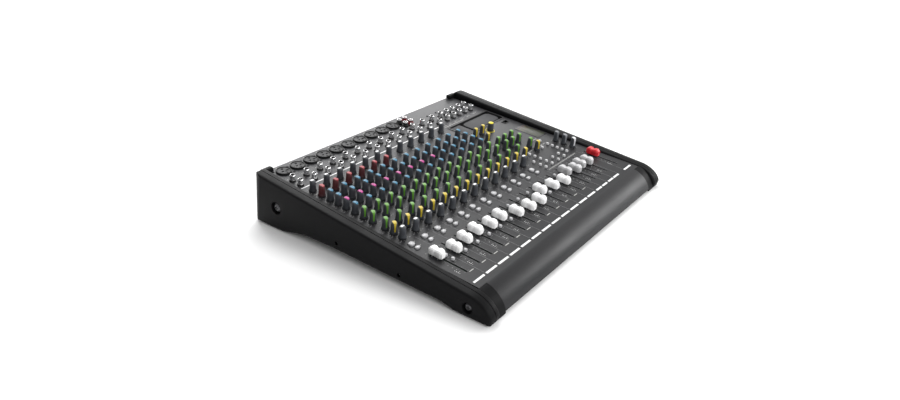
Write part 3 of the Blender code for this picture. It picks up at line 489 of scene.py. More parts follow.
def makeRepeatTree():  # one modelled shape set down on every spot
    tree = Tree("setDown", Shape=("Object", None), Finish=("Material", None))
    shape = tree.add("GeometryNodeObjectInfo", {}, {"Object": tree.start["Shape"]}, "Geometry")
    turn = tree.add("ShaderNodeCombineXYZ", {}, {"Z": tree.carried("turn")})
    return tree.close(tree.add("GeometryNodeInstanceOnPoints", {}, {
        "Points": tree.start["Geometry"], "Instance": shape, "Rotation": turn,
        "Scale": tree.carried("stretch", "FLOAT_VECTOR")}))


def makeBarTree():  # printed bars; a spot's stretch is its length, its width and a share of the thickness
    tree = Tree("printedBars", Thickness=("Float", 0.0001), Finish=("Material", None))
    bar = tree.add("GeometryNodeMeshCube", {}, {"Size": tree.add(
        "ShaderNodeCombineXYZ", {}, {"X": 1.0, "Y": 1.0, "Z": tree.start["Thickness"]})})
    turn = tree.add("ShaderNodeCombineXYZ", {}, {"Z": tree.carried("turn")})
    return tree.close(tree.add("GeometryNodeInstanceOnPoints", {}, {
        "Points": tree.start["Geometry"], "Instance": bar, "Rotation": turn,
        "Scale": tree.carried("stretch", "FLOAT_VECTOR")}))


def makeDialTree():  # a ring of scale marks round every spot, open at the front
    tree = Tree("dialMarks", Marks=("Int", 11), Radius=("Float", 0.007), Length=("Float", 0.0015),
                Width=("Float", 0.0003), Thickness=("Float", 0.0001), Sweep=("Float", math.radians(300)),
                Finish=("Material", None))
    count, sweep = tree.start["Marks"], tree.start["Sweep"]
    index = tree.add("GeometryNodeInputIndex")
    share = tree.maths("DIVIDE", index, tree.maths("SUBTRACT", count, 1.0))
    angle = tree.maths("MULTIPLY_ADD", share, sweep)
    angle.node.inputs[2].default_value = math.radians(-60)
    middle = tree.maths("ADD", tree.start["Radius"], tree.maths("MULTIPLY", tree.start["Length"], 0.5))
    place = tree.add("ShaderNodeCombineXYZ", {}, {
        "X": tree.maths("MULTIPLY", tree.maths("COSINE", angle), middle),
        "Y": tree.maths("MULTIPLY", tree.maths("SINE", angle), middle)})
    row = tree.add("GeometryNodePoints", {}, {"Count": count, "Position": place})
    mark = tree.add("GeometryNodeMeshCube", {}, {"Size": tree.add("ShaderNodeCombineXYZ", {}, {
        "X": tree.start["Length"], "Y": tree.start["Width"], "Z": tree.start["Thickness"]})})
    ring = tree.add("GeometryNodeInstanceOnPoints", {}, {
        "Points": row, "Instance": mark, "Rotation": tree.add("ShaderNodeCombineXYZ", {}, {"Z": angle})})
    return tree.close(tree.add("GeometryNodeInstanceOnPoints", {}, {
        "Points": tree.start["Geometry"], "Instance": ring}))


repeatTree, barTree, dialTree = makeRepeatTree(), makeBarTree(), makeDialTree()
shapes = []


def keepShape(bm, name, sharp=38):
    shape = newPiece(name, finishMesh(bm, name, sharp))
    shapes.append(shape)
    return shape


def lay(name, tree, spots, look, place=None, **values):  # keeps the plain mesh that a tree makes on spots
    carrier = newPiece("carrier", spotMesh(spots))
    build = carrier.modifiers.new("build", "NODES")
    build.node_group = tree
    values["Finish"] = finishes[look]
    for item in tree.interface.items_tree:
        if item.in_out == "INPUT" and item.name in values:
            build[item.identifier] = values[item.name]
    graph = bpy.context.evaluated_depsgraph_get()
    mesh = bpy.data.meshes.new_from_object(carrier.evaluated_get(graph), preserve_all_data_layers=True,
                                           depsgraph=graph)
    carrier.modifiers.remove(build)
    bpy.data.objects.remove(carrier)
    mesh.name = name
    mesh.transform(panelPlace if place is None else place)
    return newPiece(name, mesh)


def setDown(name, spots, look, shape, stands=(), body="root", place=None):
    return settle(lay(name, repeatTree, spots, look, place, Shape=shape), body, stands)


def camel(name):
    first, *rest = name.split("_")
    return first + "".join(word.capitalize() for word in rest)


def caseCopy(node, keepBelow=None):  # a merged copy of a CAD node, with only what is below a height, if given
    bm = bmesh.new()
    bm.from_mesh(nodes[node].data)
    bmesh.ops.remove_doubles(bm, verts=bm.verts, dist=2e-6)
    if keepBelow is not None:
        everything = bm.verts[:] + bm.edges[:] + bm.faces[:]
        level = panelPlace @ Vector((0, 0, keepBelow))
        bmesh.ops.bisect_plane(bm, geom=everything, dist=1e-7, plane_co=level, plane_no=panelNormal,
                               clear_outer=True)
        bmesh.ops.holes_fill(bm, edges=[edge for edge in bm.edges if edge.is_boundary], sides=0)
    return bm


print("tools ready")

# casing

casing = {
    "panelSharp": 32, "cheekSharp": 42, "boardCut": -0.0014, "jackBoardCut": -0.0083, "boardTop": -0.0120,
    "grooveX": 0.2382, "hookFrom": 0.2018, "footTop": 0.0040, "usbTop": 0.0005,
    "plain": {"base_pan": "panPaint", "front_left_foot": "footRubber", "front_right_foot": "footRubber",
              "rear_left_foot": "footRubber", "rear_right_foot": "footRubber", "power_supply": "boardLaminate",
              "effects_board": "boardLaminate", "iec_inlet": "socketPlastic",
              "power_switch_body": "socketPlastic", "power_rocker": "rockerPlastic"},
}

mesh = finishMesh(caseCopy("top_panel"), "topPanel", casing["panelSharp"], panelNormal)
settle(newPiece("topPanel", mesh, "panelPaint"), stands=("top_panel",))
for side in ("left", "right"):
    bm = caseCopy(f"{side}_cheek")
    for face in bm.faces:  # inside its groove a cheek has the panel's paint, apart from foot and hook
        middle = face.calc_center_median()
        face.material_index = (abs(middle.x) < casing["grooveX"] and middle.y < casing["hookFrom"]
                               and middle.z > casing["footTop"])
    mesh = finishMesh(bm, f"{side}Cheek", casing["cheekSharp"])
    cheek = newPiece(f"{side}Cheek", mesh, "cheekPlastic", "panelPaint")
    settle(cheek, stands=(f"{side}_cheek",))
for node in ("fader_board", "channel_board", "master_board", "jack_board"):
    cut = casing["jackBoardCut" if node == "jack_board" else "boardCut"]
    bm = caseCopy(node, cut)
    for face in bm.faces:  # what stands on a board is black
        face.material_index = onPanel(face.calc_center_median()).z > casing["boardTop"]
    board = newPiece(camel(node), finishMesh(bm, camel(node), 30), "boardLaminate", "linerPlastic")
    settle(board, stands=(node,))
bm = caseCopy("usb_socket")
for face in bm.faces:
    face.material_index = onPanel(face.calc_center_median()).z < casing["usbTop"]
settle(newPiece("usbSocket", finishMesh(bm, "usbSocket", 30), "darkMetal", "linerPlastic"),
       stands=("usb_socket",))
for node, look in casing["plain"].items():
    nodes[node].data.materials.clear()
    nodes[node].data.materials.append(finishes[look])
print("casing done")

# knobs

knob = {
    "skirt": 0.0058, "waist": 0.0046, "crown": 0.0041, "foot": 0.0009, "top": 0.0178, "shaft": 0.0029,
    "shaftEnd": -0.0014, "segments": 24, "proud": 0.00028,
    "slate": paint(60, 62, 66), "dullRed": paint(86, 34, 34),
    "white": paint(228, 229, 230), "blue": paint(38, 108, 138), "pink": paint(170, 46, 126),
    "red": paint(150, 44, 52), "green": paint(88, 142, 46), "yellow": paint(190, 168, 44),
    "pinkChannels": 8,
}
halfPast = math.radians(150)  # a pointer at seven o'clock


def makeKnob(name, longStripe=True):
    bm = newShape()
    top, skirt, waist, crown, foot, shaft, end = (
        knob[key] for key in ("top", "skirt", "waist", "crown", "foot", "shaft", "shaftEnd"))
    spin(bm, [(0, end), (shaft, end), (shaft, foot), (skirt - 0.0004, foot), (skirt, foot + 0.0004),
              (skirt - 0.0001, foot + 0.0012), (waist + 0.0006, foot + 0.0023), (waist, foot + 0.0044),
              (waist - 0.0001, 0.0100), (crown + 0.0002, top - 0.0022), (crown - 0.0002, top - 0.0009),
              (crown - 0.0010, top - 0.0002), (0, top)], knob["segments"])
    wide, grip = 0.0025 if longStripe else 0.0028, waist + knob["proud"]
    # along the stripe, from the crown's far edge down to the skirt: place, height, half width
    stations = [(-0.0043, top - 0.0016, 0.0011), (-0.0038, top - 0.0004, 0.0019),
                (-0.0018, top + 0.0002, 0.0025)]
    if not longStripe:
        stations = [(-0.0004, top + 0.0002, 0.0025), (0.0008, top + 0.0002, 0.0029)]
    stations += [(0.0020, top + 0.0002, wide), (0.0036, top - 0.0003, wide - 0.0006),
                 (0.0044, top - 0.0020, 0.0015), (0.0047, 0.0130, 0.0012), (grip, 0.0085, 0.0011),
                 (grip, 0.0058, 0.0011), (waist + 0.0004, 0.0046, 0.0010)]
    rings = []
    for y, z, half in stations:
        outer = Vector((0, y, z))
        inner = outer + (Vector((0, 0, min(z, top - 0.004))) - outer).normalized() * 0.0008
        rings.append([(-half, outer.y, outer.z), (half, outer.y, outer.z), (half, inner.y, inner.z),
                      (-half, inner.y, inner.z)])
    loft(bm, rings, part=1.0)
    return keepShape(bm, name, 40)


longKnob, shortKnob = makeKnob("longKnob"), makeKnob("shortKnob", False)


def knobLooks(row, channel=0):  # shape, stripe colour, body colour, pointer turn
    body = knob["dullRed"] if row == "compressor" else knob["slate"]
    if row in ("pan", "gain"):
        return shortKnob, knob["white"], body, 0.0
    if row.startswith("aux"):
        return longKnob, knob["green"], body, halfPast
    if row == "effects_send":
        return longKnob, knob["yellow"], body, halfPast
    if row == "mid_frequency" and channel < knob["pinkChannels"]:
        return longKnob, knob["pink"], body, 0.0
    return longKnob, knob["red" if row == "compressor" else "blue"], body, 0.0


channelKnobs = {longKnob: [], shortKnob: []}
allKnobs = []
for channel in range(desk["channels"]):
    for row in knobNames:
        if row == "compressor" and channel >= desk["compressorChannels"]:
            continue
        shape, stripe, body, turn = knobLooks(row, channel)
        place = spot(channelEdge(channel) + knobX, knobRows[row], turn=turn, tint=stripe, bodyTint=body)
        allKnobs.append(place)
        if channel:
            channelKnobs[shape].append(place)
            continue
        node = f"channel_01_{row}_knob"
        setDown(camel(node), [place], "knobPlastic", shape, (node,), node)
for shape, name in ((longKnob, "channelKnobs"), (shortKnob, "panAndGainKnobs")):
    setDown(name, channelKnobs[shape], "knobPlastic", shape, ("channel_board",))

masterKnobs = {
    "columns": (0.1131, 0.1326, 0.1531),
    "returns": ((0.1131, 0.2412), (0.1337, 0.2412), (0.1137, 0.2160)),
    "sends": {"aux_1": (0, 1, 2), "aux_2": (0, 1, 2), "aux_3": (0, 2), "effects_send": (0, 2)},
    "monitorTints": {"phones": paint(216, 218, 220), "control_room": paint(128, 130, 134),
                     "monitor": paint(112, 114, 118)},
}


def turnedKnob(x, y, tint):  # a slate knob that points to seven o'clock
    return spot(x, y, turn=halfPast, tint=tint, bodyTint=knob["slate"])


fixed = [turnedKnob(x, y, knob["yellow"]) for x, y in masterKnobs["returns"]]
for row, columns in masterKnobs["sends"].items():
    tint = knob["yellow" if row == "effects_send" else "green"]
    fixed += [turnedKnob(masterKnobs["columns"][column], knobRows[row], tint) for column in columns]
allKnobs += fixed
setDown("masterKnobs", fixed, "knobPlastic", longKnob, ("master_board",))
for name, tint in masterKnobs["monitorTints"].items():
    place = onPanel(joints[f"{name}_turn"]["pos_m"])
    place = turnedKnob(place.x, place.y, tint)
    allKnobs.append(place)
    node = f"{name}_knob"
    setDown(camel(node), [place], "knobPlastic", longKnob, (node,), node)

encoder = {"radius": 0.0058, "top": 0.0150, "crown": 0.0046, "segments": 32, "ring": 0.0084, "ringWidth": 0.0010,
           "tint": paint(222, 204, 40)}
bm = newShape()
radius, top, crown, shaft, end = (encoder["radius"], encoder["top"], encoder["crown"], knob["shaft"],
                                  knob["shaftEnd"])
spin(bm, [(0, end), (shaft, end), (shaft, 0.0009), (radius - 0.0004, 0.0009), (radius, 0.0014),
          (radius - 0.0002, 0.0060), (crown + 0.0004, 0.0130), (crown, top - 0.0004), (0, top - 0.0003)],
     encoder["segments"])
spin(bm, [(0, top - 0.0006), (crown - 0.0003, top - 0.0006), (crown - 0.0002, top + 0.0003),
          (crown - 0.0008, top + 0.0007), (0, top + 0.0009)], encoder["segments"], part=1.0)
encoderShape = keepShape(bm, "encoderShape", 40)
place = onPanel(joints["effects_encoder_turn"]["pos_m"])
encoderSpot = spot(place.x, place.y, tint=encoder["tint"], bodyTint=knob["slate"])
setDown("effectsEncoder", [encoderSpot], "knobPlastic", encoderShape, ("effects_encoder",),
        "effects_encoder")
print("knobs:", len(allKnobs))

# buttons

button = {
    "top": 0.0034, "foot": -0.0014, "round": 0.0025, "tint": paint(190, 190, 192),
    "masterTint": paint(205, 205, 206),
    "mute": (0.0085, 0.0078, 0.0030), "listen": (0.0075, 0.0050, 0.0022),
    "masterColumns": {
        0.1078: (0.0954, 0.1062, 0.1188), 0.1272: (0.0954, 0.1062, 0.1177, 0.1285, 0.1390),
        0.1477: (0.0954, 0.1062), 0.1671: (0.0954, 0.1062, 0.1382),
        0.1866: (0.1010, 0.1102, 0.1199, 0.1296, 0.1388, 0.1545)},
}


def makePad(name, size):
    width, depth, corner = size
    bm = newShape()
    rings = []
    for inset, height in ((0.0, button["foot"]), (0.0, 0.0020), (0.0002, 0.0025), (0.0006, 0.0027)):
        rings.append(roundedRing(width - 2 * inset, depth - 2 * inset, corner - inset * 0.6, height, steps=4))
    loft(bm, rings)
    return keepShape(bm, name, 32)


def makeRoundButton(name):
    radius, top = button["round"], button["top"]
    bm = newShape()
    spin(bm, [(0, button["foot"]), (radius, button["foot"]), (radius, top - 0.0005), (radius - 0.0003, top),
              (radius - 0.0007, top), (radius - 0.0010, top - 0.0004), (radius - 0.0013, top - 0.0001),
              (0, top + 0.0001)], 16)
    return keepShape(bm, name, 50)


padShapes = {"mute": makePad("mutePad", button["mute"]), "pfl": makePad("listenPad", button["listen"]),
             "route": makeRoundButton("roundButton")}
buttonSpots = {}
for kind in ("mute", "pfl", "route_1", "route_2", "route_3"):
    low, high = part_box(f"channel_01_{kind}_button")
    middle = onPanel(((low.x + high.x) / 2, (low.y + high.y) / 2, (low.z + high.z) / 2))
    buttonSpots[kind] = (middle.x - desk["firstEdge"], middle.y)
fixedPads = {"mute": [], "pfl": [], "route": []}
for channel in range(desk["channels"]):
    for kind, (x, y) in buttonSpots.items():
        shape = kind.split("_")[0]
        place = spot(channelEdge(channel) + x, y, tint=button["tint"])
        if channel:
            fixedPads[shape].append(place)
            continue
        node = f"channel_01_{kind}_button"
        setDown(camel(node), [place], "buttonPlastic", padShapes[shape], (node,), node)
for shape, name in (("mute", "muteButtons"), ("pfl", "listenButtons"), ("route", "routeButtons")):
    setDown(name, fixedPads[shape], "buttonPlastic", padShapes[shape], ("channel_board",))
masterButtons = [spot(x, y, tint=button["masterTint"])
                 for x, rows in button["masterColumns"].items() for y in rows]
setDown("masterButtons", masterButtons, "buttonPlastic", padShapes["route"],
        ("master_board",))
print("buttons:", len(masterButtons) + len(buttonSpots) * desk["channels"])

# faders

cap = {
    "foot": 0.0014, "middleHeight": 0.0066,
    # along the cap from its middle: half width, height
    "stations": ((0.0, 0.0043, 0.0105), (0.0007, 0.0043, 0.0105), (0.0031, 0.0054, 0.0119),
                 (0.0076, 0.0054, 0.0118), (0.0110, 0.0037, 0.0094)),
    "lineHalf": 0.0007, "lineProud": 0.00045,
    "lever": (0.0006, 0.0007), "leverEnd": -0.0070,
    "white": (paint(250, 250, 250), paint(255, 255, 255)),
    "grey": (paint(176, 176, 177), paint(190, 190, 191)),
    "red": (paint(204, 34, 42), paint(220, 44, 52)),
}
for tone in ("white", "grey", "red"):
    finishes[f"{tone}Cap"] = mouldedPlastic(f"{tone}Cap", *cap[tone], rough=(0.34, 0.46), grain=0.0005,
                                            depth=0.00002, blotch=0.008, Coat_Weight=0.1).material


def capSection(y, half, height, swell=0.0):
    half, foot, height = half + swell, cap["foot"] - swell, height + swell
    sides = [(half * 0.94, foot), (half, foot + 0.0010), (half, height - 0.0022), (half * 0.74, height)]
    return [(x, y, z) for x, z in sides] + [(-x, y, z) for x, z in reversed(sides)]


def makeFaderCap():  # a body of flat facets, then the dark pointer line and lever
    bm = newShape()
    mirrored = [(-y, half, height) for y, half, height in reversed(cap["stations"][1:])]
    loft(bm, [capSection(*station) for station in mirrored + list(cap["stations"])])
    before = set(bm.faces)
    line, wide, high = cap["lineHalf"], cap["stations"][0][1] * 0.985, cap["stations"][0][2]
    loft(bm, [capSection(y, wide, high - 0.00022, cap["lineProud"]) for y in (-line, line)])
    x, y = cap["lever"]
    block(bm, (-x, -y, cap["leverEnd"]), (x, y, cap["foot"] + 0.002), 0.0002, 0.0001)
    for face in set(bm.faces) - before:
        face.material_index = 1
    return bm


faderNodes = [name for name in nodes if name.endswith("_fader")]
faderSpots = {}
for node in faderNodes:
    low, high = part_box(node)
    middle = (low.y + high.y) / 2 - desk["origin"][1] + math.sin(desk["tilt"]) * cap["middleHeight"]
    faderSpots[node] = ((low.x + high.x) / 2, middle / math.cos(desk["tilt"]))
    tone = "red" if node == "main_fader" else "grey" if node.startswith("group") else "white"
    mesh = finishMesh(makeFaderCap(), node, 24)
    mesh.transform(panelPlace @ Matrix.Translation((*faderSpots[node], 0)))
    settle(newPiece(f"{camel(node)}Cap", mesh, f"{tone}Cap", "capLine"), node, (node,))
print("faders:", len(faderSpots))

# sockets

jack = {
    "radius": 0.0041, "bore": 0.0034, "top": 0.0104, "floor": -0.0080,
    "nut": 0.0051, "nutTop": 0.0024, "rows": (0.3197, 0.3370), "masterX": 0.1358, "masterPitch": 0.0178,
    "columnX": 0.013,
}
jackColumns = [channelEdge(i) + jack["columnX"] for i in range(desk["channels"] + 1)]
jackColumns += [jack["masterX"] + i * jack["masterPitch"] for i in range(5)]
jackSpots = [spot(x, row) for row in jack["rows"] for x in jackColumns]

bm = newShape()
radius, bore, top, floor, nut, nutTop = (
    jack[key] for key in ("radius", "bore", "top", "floor", "nut", "nutTop"))
spin(bm, [(0, floor), (radius, floor), (radius, top - 0.0005), (radius - 0.0003, top), (bore + 0.0002, top),
          (bore, top - 0.0003), (bore, floor + 0.0006), (0, floor + 0.0006)], 20)
barrel = keepShape(bm, "jackBarrel", 30)
setDown("jackBarrels", jackSpots, "jackMetal", barrel, ("jack_board",))

bm = newShape()
spin(bm, [(bore + 0.0001, top - 0.0004), (bore - 0.0002, top - 0.0003), (bore - 0.00025, floor + 0.0010),
          (bore + 0.0001, floor + 0.0010)], 20, wrap=True)
spin(bm, [(radius, 0.0001), (nut, 0.0001), (nut, 0.0008), (nut - 0.0004, 0.0016), (nut - 0.0007, nutTop),
          (radius - 0.0001, nutTop)], 20, wrap=True)
collar = keepShape(bm, "jackCollar", 35)
setDown("jackCollars", jackSpots, "linerPlastic", collar)

xlr = {
    "rim": 0.0120, "rimTop": 0.0034, "lip": 0.0100, "face": 0.0097, "faceTop": 0.0026, "depth": -0.0200,
    "pinRing": 0.0044, "pin": 0.0017, "row": 0.3667, "x": 0.0221, "count": 10, "screw": (0.0124, 0.0094),
}
bm = newShape()
rim, rimTop, lip, depth = xlr["rim"], xlr["rimTop"], xlr["lip"], xlr["depth"]
spin(bm, [(0, depth - 0.0010), (0.0100, depth - 0.0010), (0.0100, 0.0), (rim, 0.0002), (rim, rimTop - 0.0008),
          (rim - 0.0008, rimTop), (lip + 0.0004, rimTop), (lip, rimTop - 0.0004), (lip, 0.0010), (0, 0.0010)],
     32)
xlrRim = keepShape(bm, "xlrRim", 35)
bm = newShape()
wide, top = xlr["face"], xlr["faceTop"]
spin(bm, [(0, 0.0005), (wide, 0.0005), (wide, top - 0.0003), (wide - 0.0003, top), (0, top)], 32)
face = finishMesh(bm, "xlrFaceBlank", 35)
bm = newShape()
for i in range(3):
    angle = math.radians(90 + 120 * i)
    spin(bm, [(0, 0.0008), (xlr["pin"], 0.0008), (xlr["pin"], 0.0100), (0, 0.0100)], 12,
         centre=(xlr["pinRing"] * math.cos(angle), xlr["pinRing"] * math.sin(angle)))
block(bm, (-0.0013, -wide - 0.0008, 0.0008), (0.0013, -wide + 0.0022, 0.0080), 0.0002, 0.0001)
xlrFace = newPiece("xlrFace", cutFrom(face, finishMesh(bm, "xlrPins"), "xlrFace"))
shapes.append(xlrFace)
xlrSpots = [spot(channelEdge(i) + xlr["x"], xlr["row"]) for i in range(xlr["count"])]
setDown("microphoneSockets", xlrSpots, "socketPlastic", xlrRim, ("xlr_sockets",))
setDown("microphoneFaces", xlrSpots, "socketFace", xlrFace, ("xlr_sockets",))

rca = {"centre": (0.0658, 0.3607), "pitch": 0.0142, "collar": 0.0056, "barrel": 0.0042, "top": 0.0086,
       "black": paint(24, 24, 25), "red": paint(112, 24, 30)}
(x, y), pitch = rca["centre"], rca["pitch"]
rcaSpots = [spot(x + a * pitch / 2, y + b * pitch / 2, tint=rca[tone])
            for a, tone in ((-1, "black"), (1, "red")) for b in (-1, 1)]
bm = newShape()
collar, wide, top = rca["collar"], rca["barrel"], rca["top"]
spin(bm, [(0, -0.0060), (0.0040, -0.0060), (0.0040, 0.0), (collar, 0.0001), (collar, 0.0030),
          (collar - 0.0006, 0.0036), (wide + 0.0002, 0.0038), (wide + 0.0002, 0.0062),
          (wide - 0.0002, 0.0066), (0, 0.0066)], 24)
rcaBody = keepShape(bm, "rcaBody", 35)
bm = newShape()
spin(bm, [(wide - 0.0001, 0.0064), (wide - 0.0001, top - 0.0003), (wide - 0.0004, top), (wide - 0.0008, top),
          (wide - 0.0010, top - 0.0004), (wide - 0.0010, 0.0064)], 24, wrap=True)
rcaTip = keepShape(bm, "rcaTip", 35)
finishes["tapePlastic"] = tintedPlastic("tapePlastic", (0.3, 0.4), 0.1).material
setDown("tapeSockets", rcaSpots, "tapePlastic", rcaBody, ("rca_sockets",))
setDown("tapeSocketTips", rcaSpots, "brightMetal", rcaTip)
print("sockets:", len(jackSpots) + len(xlrSpots) + len(rcaSpots))

# tray and meter

tray = {"low": (0.1075, 0.2555), "high": (0.2265, 0.2975), "depth": 0.0060, "wall": 0.0015, "corner": 0.0035,
        "lip": 0.0009, "pad": ((0.0350, 0.0065), (0.0040, 0.0050)), "padTop": -0.0012, "ledge": 0.0300}
bm = newShape()
(left, near), (right, far), depth, wall, lip = tray["low"], tray["high"], tray["depth"], tray["wall"], tray["lip"]
width, length, middle = right - left, far - near, ((right + left) / 2, (far + near) / 2)
rings = []
for inset, height in ((0.0004, -depth - 0.0014), (0.0, -depth), (0.0, 0.0001), (-0.0012, 0.0002),
                      (-0.0012, lip - 0.0003), (-0.0009, lip), (wall, lip), (wall + 0.0003, lip - 0.0003),
                      (wall + 0.0004, -depth + 0.0006), (wall + 0.0010, -depth)):
    corner = max(tray["corner"] - inset, 0.001)
    rings.append(roundedRing(width - 2 * inset, length - 2 * inset, corner, height, middle, 5))
loft(bm, rings)
settle(newPiece("deviceTray", onDesk(bm, "deviceTray"), "trayPlastic"),
       stands=("device_tray",))
bm = newShape()
(padLeft, padFront), (padRight, padRear) = tray["pad"]
block(bm, (left + padLeft, near + padFront, -depth), (right - padRight, far - padRear, tray["padTop"]), 0.0095,
      0.0008)
block(bm, (left + 0.0035, near + 0.0035, -depth), (left + tray["ledge"], far - 0.0035, tray["padTop"]), 0.0030,
      0.0008)
settle(newPiece("trayPads", onDesk(bm, "trayPads"), "trayPad"),
       stands=("device_tray",))

meter = {"low": (0.1975, 0.1640), "high": (0.2255, 0.2140), "top": 0.0006, "lamps": 12,
         "columns": (0.2010, 0.2052, 0.2094, 0.2136, 0.2178, 0.2220),
         "rowStep": 0.0038, "firstRow": 0.1682, "lamp": (0.0016, 0.0011), "yellowFrom": 8, "redFrom": 11,
         "green": paint(112, 122, 70), "yellow": paint(146, 134, 74), "red": paint(128, 84, 70)}
bm = newShape()
block(bm, (*meter["low"], -0.0100), (*meter["high"], meter["top"]), 0.0012, 0.0003)
settle(newPiece("levelMeter", onDesk(bm, "levelMeter"), "meterGlass"),
       stands=("level_meter",))
bm = newShape()
x, y = meter["lamp"]
block(bm, (-x / 2, -y / 2, 0), (x / 2, y / 2, 0.0004), 0.0003, 0.0001)
lampShape = keepShape(bm, "lampShape")
lamps = []
for column in meter["columns"]:
    for i in range(meter["lamps"]):
        tone = "red" if i >= meter["redFrom"] else "yellow" if i >= meter["yellowFrom"] else "green"
        lamps.append(spot(column, meter["firstRow"] + i * meter["rowStep"], meter["top"], tint=meter[tone]))
setDown("meterLamps", lamps, "lens", lampShape)
print("tray and meter done")

# printing on the panel
ink = {
    "thickness": 0.00006, "lift": 0.00005,
    "white": paint(236, 236, 236), "pale": paint(176, 176, 172), "grey": paint(122, 122, 124),
    "dim": paint(92, 92, 94),
    "dash": 0.0032, "dashFrom": 0.0005, "dashTo": 0.0232,
    "groupDashes": ((0.1007, 0.1175), (0.1212, 0.1369), (0.1418, 0.1580), (0.1607, 0.1785), (0.2001, 0.2238)),
    "line": 0.00035, "frameLine": 0.0003, "groupLines": [0.0986 + 0.0204 * i for i in range(6)],
    "marks": 11, "markRadius": 0.0066, "markLength": 0.0013, "markWidth": 0.00032,
}
bars = []


def bar(x0, x1, y0, y1, tint="pale"):  # a printed rectangle from corner to corner
    size = (x1 - x0, y1 - y0, 1)
    bars.append(spot((x0 + x1) / 2, (y0 + y1) / 2, ink["lift"], stretch=size, tint=ink[tint]))


def words(x0, x1, y, height=0.0010, tint="grey", seed=0):  # stands for a line of lettering, with no letters
    x, i = x0, seed
    while x < x1 - 0.0006:
        length = 0.0006 + 0.0004 * ((i * 7) % 3)
        bar(x, min(x + length, x1), y - height / 2, y + height / 2, tint)
        x += length + (0.0009 if i % 5 == 4 else 0.00035)
        i += 1


for channel in range(desk["channels"]):
    edge = channelEdge(channel)
    bar(edge + ink["dashFrom"], edge + ink["dashTo"], -ink["dash"] / 2, ink["dash"] / 2, "white")
    bar(edge + 0.0150, edge + 0.0236, 0.0164, 0.0176, "pale")
    bar(edge + 0.0081, edge + 0.0081 + ink["line"], 0.3130, 0.3780, "grey")
    if channel:
        bar(edge - ink["line"] / 2, edge + ink["line"] / 2, 0.0030, 0.1140, "grey")
    for kind in ("mute", "pfl"):
        x, y = buttonSpots[kind]
        bar(edge + x + 0.0046, edge + x + 0.0096, y + 0.0021, y + 0.0026, "pale")
    for row in ("route_1", "route_2", "route_3"):
        x, y = buttonSpots[row]
        words(edge + x - 0.0022, edge + x + 0.0024, y - 0.0042, 0.0008, "grey", channel)
    for row in knobNames:
        if row == "compressor" and channel >= desk["compressorChannels"]:
            continue
        x, y = edge + knobX, knobRows[row] - 0.0052
        words(x - 0.0108, x - 0.0074, y, 0.0009, "grey", channel)
        words(x + 0.0074, x + 0.0108, y, 0.0009, "grey", channel + 2)
    words(edge + 0.0068, edge + 0.0205, 0.2886 - 0.0035, 0.0012, "pale", channel)
    words(edge + 0.0105, edge + 0.0165, 0.3282, 0.0010, "pale", channel + 1)
    words(edge + 0.0105, edge + 0.0165, 0.3450, 0.0010, "pale", channel + 3)
for place in xlrSpots:
    x, y = place["at"][0], place["at"][1]
    bar(x - 0.0032, x + 0.0032, y + 0.0146, y + 0.0156, "pale")
for low, high in ink["groupDashes"]:
    bar(low, high, -ink["dash"] / 2, ink["dash"] / 2, "white")
for x in ink["groupLines"]:
    bar(x - ink["line"] / 2, x + ink["line"] / 2, 0.0030, 0.0900, "grey")
bar(-0.2190, 0.1020, 0.3100, 0.3122, "white")
bar(0.1290, 0.2130, 0.3085, 0.3092, "grey")
for x in (0.1065, 0.1230, 0.1408, 0.1586, 0.1764, 0.1942):
    words(x, x + 0.0110, 0.3060, 0.0010, "pale", int(x * 1000))


def scale(x, low, travel, left=0.0016, right=0.0016):  # ticks down both sides of a fader slot
    steps = 30
    for i in range(steps + 1):
        y = low + travel * i / steps
        strong = i % 5 == 0
        length = 0.0030 if strong else 0.0019
        tint = "grey" if strong else "dim"
        bar(x + right, x + right + length, y - 0.00013, y + 0.00013, tint)
        bar(x - left - length, x - left, y - 0.00013, y + 0.00013, tint)


for node, (x, _) in faderSpots.items():
    scale(x, desk["faderLow"], desk["faderTravel"])
    for i in range(4):  # the low end of the scale
        bar(x - 0.0100, x - 0.0091, 0.0226 + i * 0.0026, 0.0236 + i * 0.0026, "white" if i else "pale")

frames = (  # boxes drawn round the groups of the master section
    (0.1035, 0.1950, 0.0862, 0.0902), (0.1035, 0.1555, 0.1438, 0.1470), (0.1580, 0.1930, 0.1438, 0.1470),
    (0.1035, 0.1560, 0.1985, 0.2020), (0.1780, 0.1945, 0.1640, 0.1668), (0.1035, 0.1420, 0.2530, 0.2552),
    (0.1030, 0.1650, 0.3010, 0.3034),
)
for x0, x1, y0, y1 in frames:
    line = ink["frameLine"]
    for corners in ((x0, x1, y0, y0 + line), (x0, x1, y1 - line, y1), (x0, x0 + line, y0 + line, y1 - line),
                    (x1 - line, x1, y0 + line, y1 - line)):
        bar(*corners, "grey")
    words(x0 + 0.0030, x1 - 0.0030, (y0 + y1) / 2, 0.0012, "pale", int(x0 * 900))
for place in masterButtons:
    x, y = place["at"][0], place["at"][1]
    words(x - 0.0060, x - 0.0034, y, 0.0008, "grey", int(y * 2000))
bars = [item for item in bars if item["stretch"][0] > 0 and item["stretch"][1] > 0]
for item in bars:  # marks on the meter's window sit on the window
    x, y, _ = item["at"]
    if meter["low"][0] < x < meter["high"][0] and meter["low"][1] < y < meter["high"][1]:
        item["at"] = (x, y, meter["top"] + ink["lift"])
settle(lay("panelPrint", barTree, bars, "ink", Thickness=ink["thickness"]))

dials = [dict(item, at=(item["at"][0], item["at"][1], ink["lift"]), tint=ink["pale"]) for item in allKnobs]
settle(lay("dialMarks", dialTree, dials, "ink", Marks=ink["marks"], Radius=ink["markRadius"],
           Length=ink["markLength"], Width=ink["markWidth"], Thickness=ink["thickness"]))

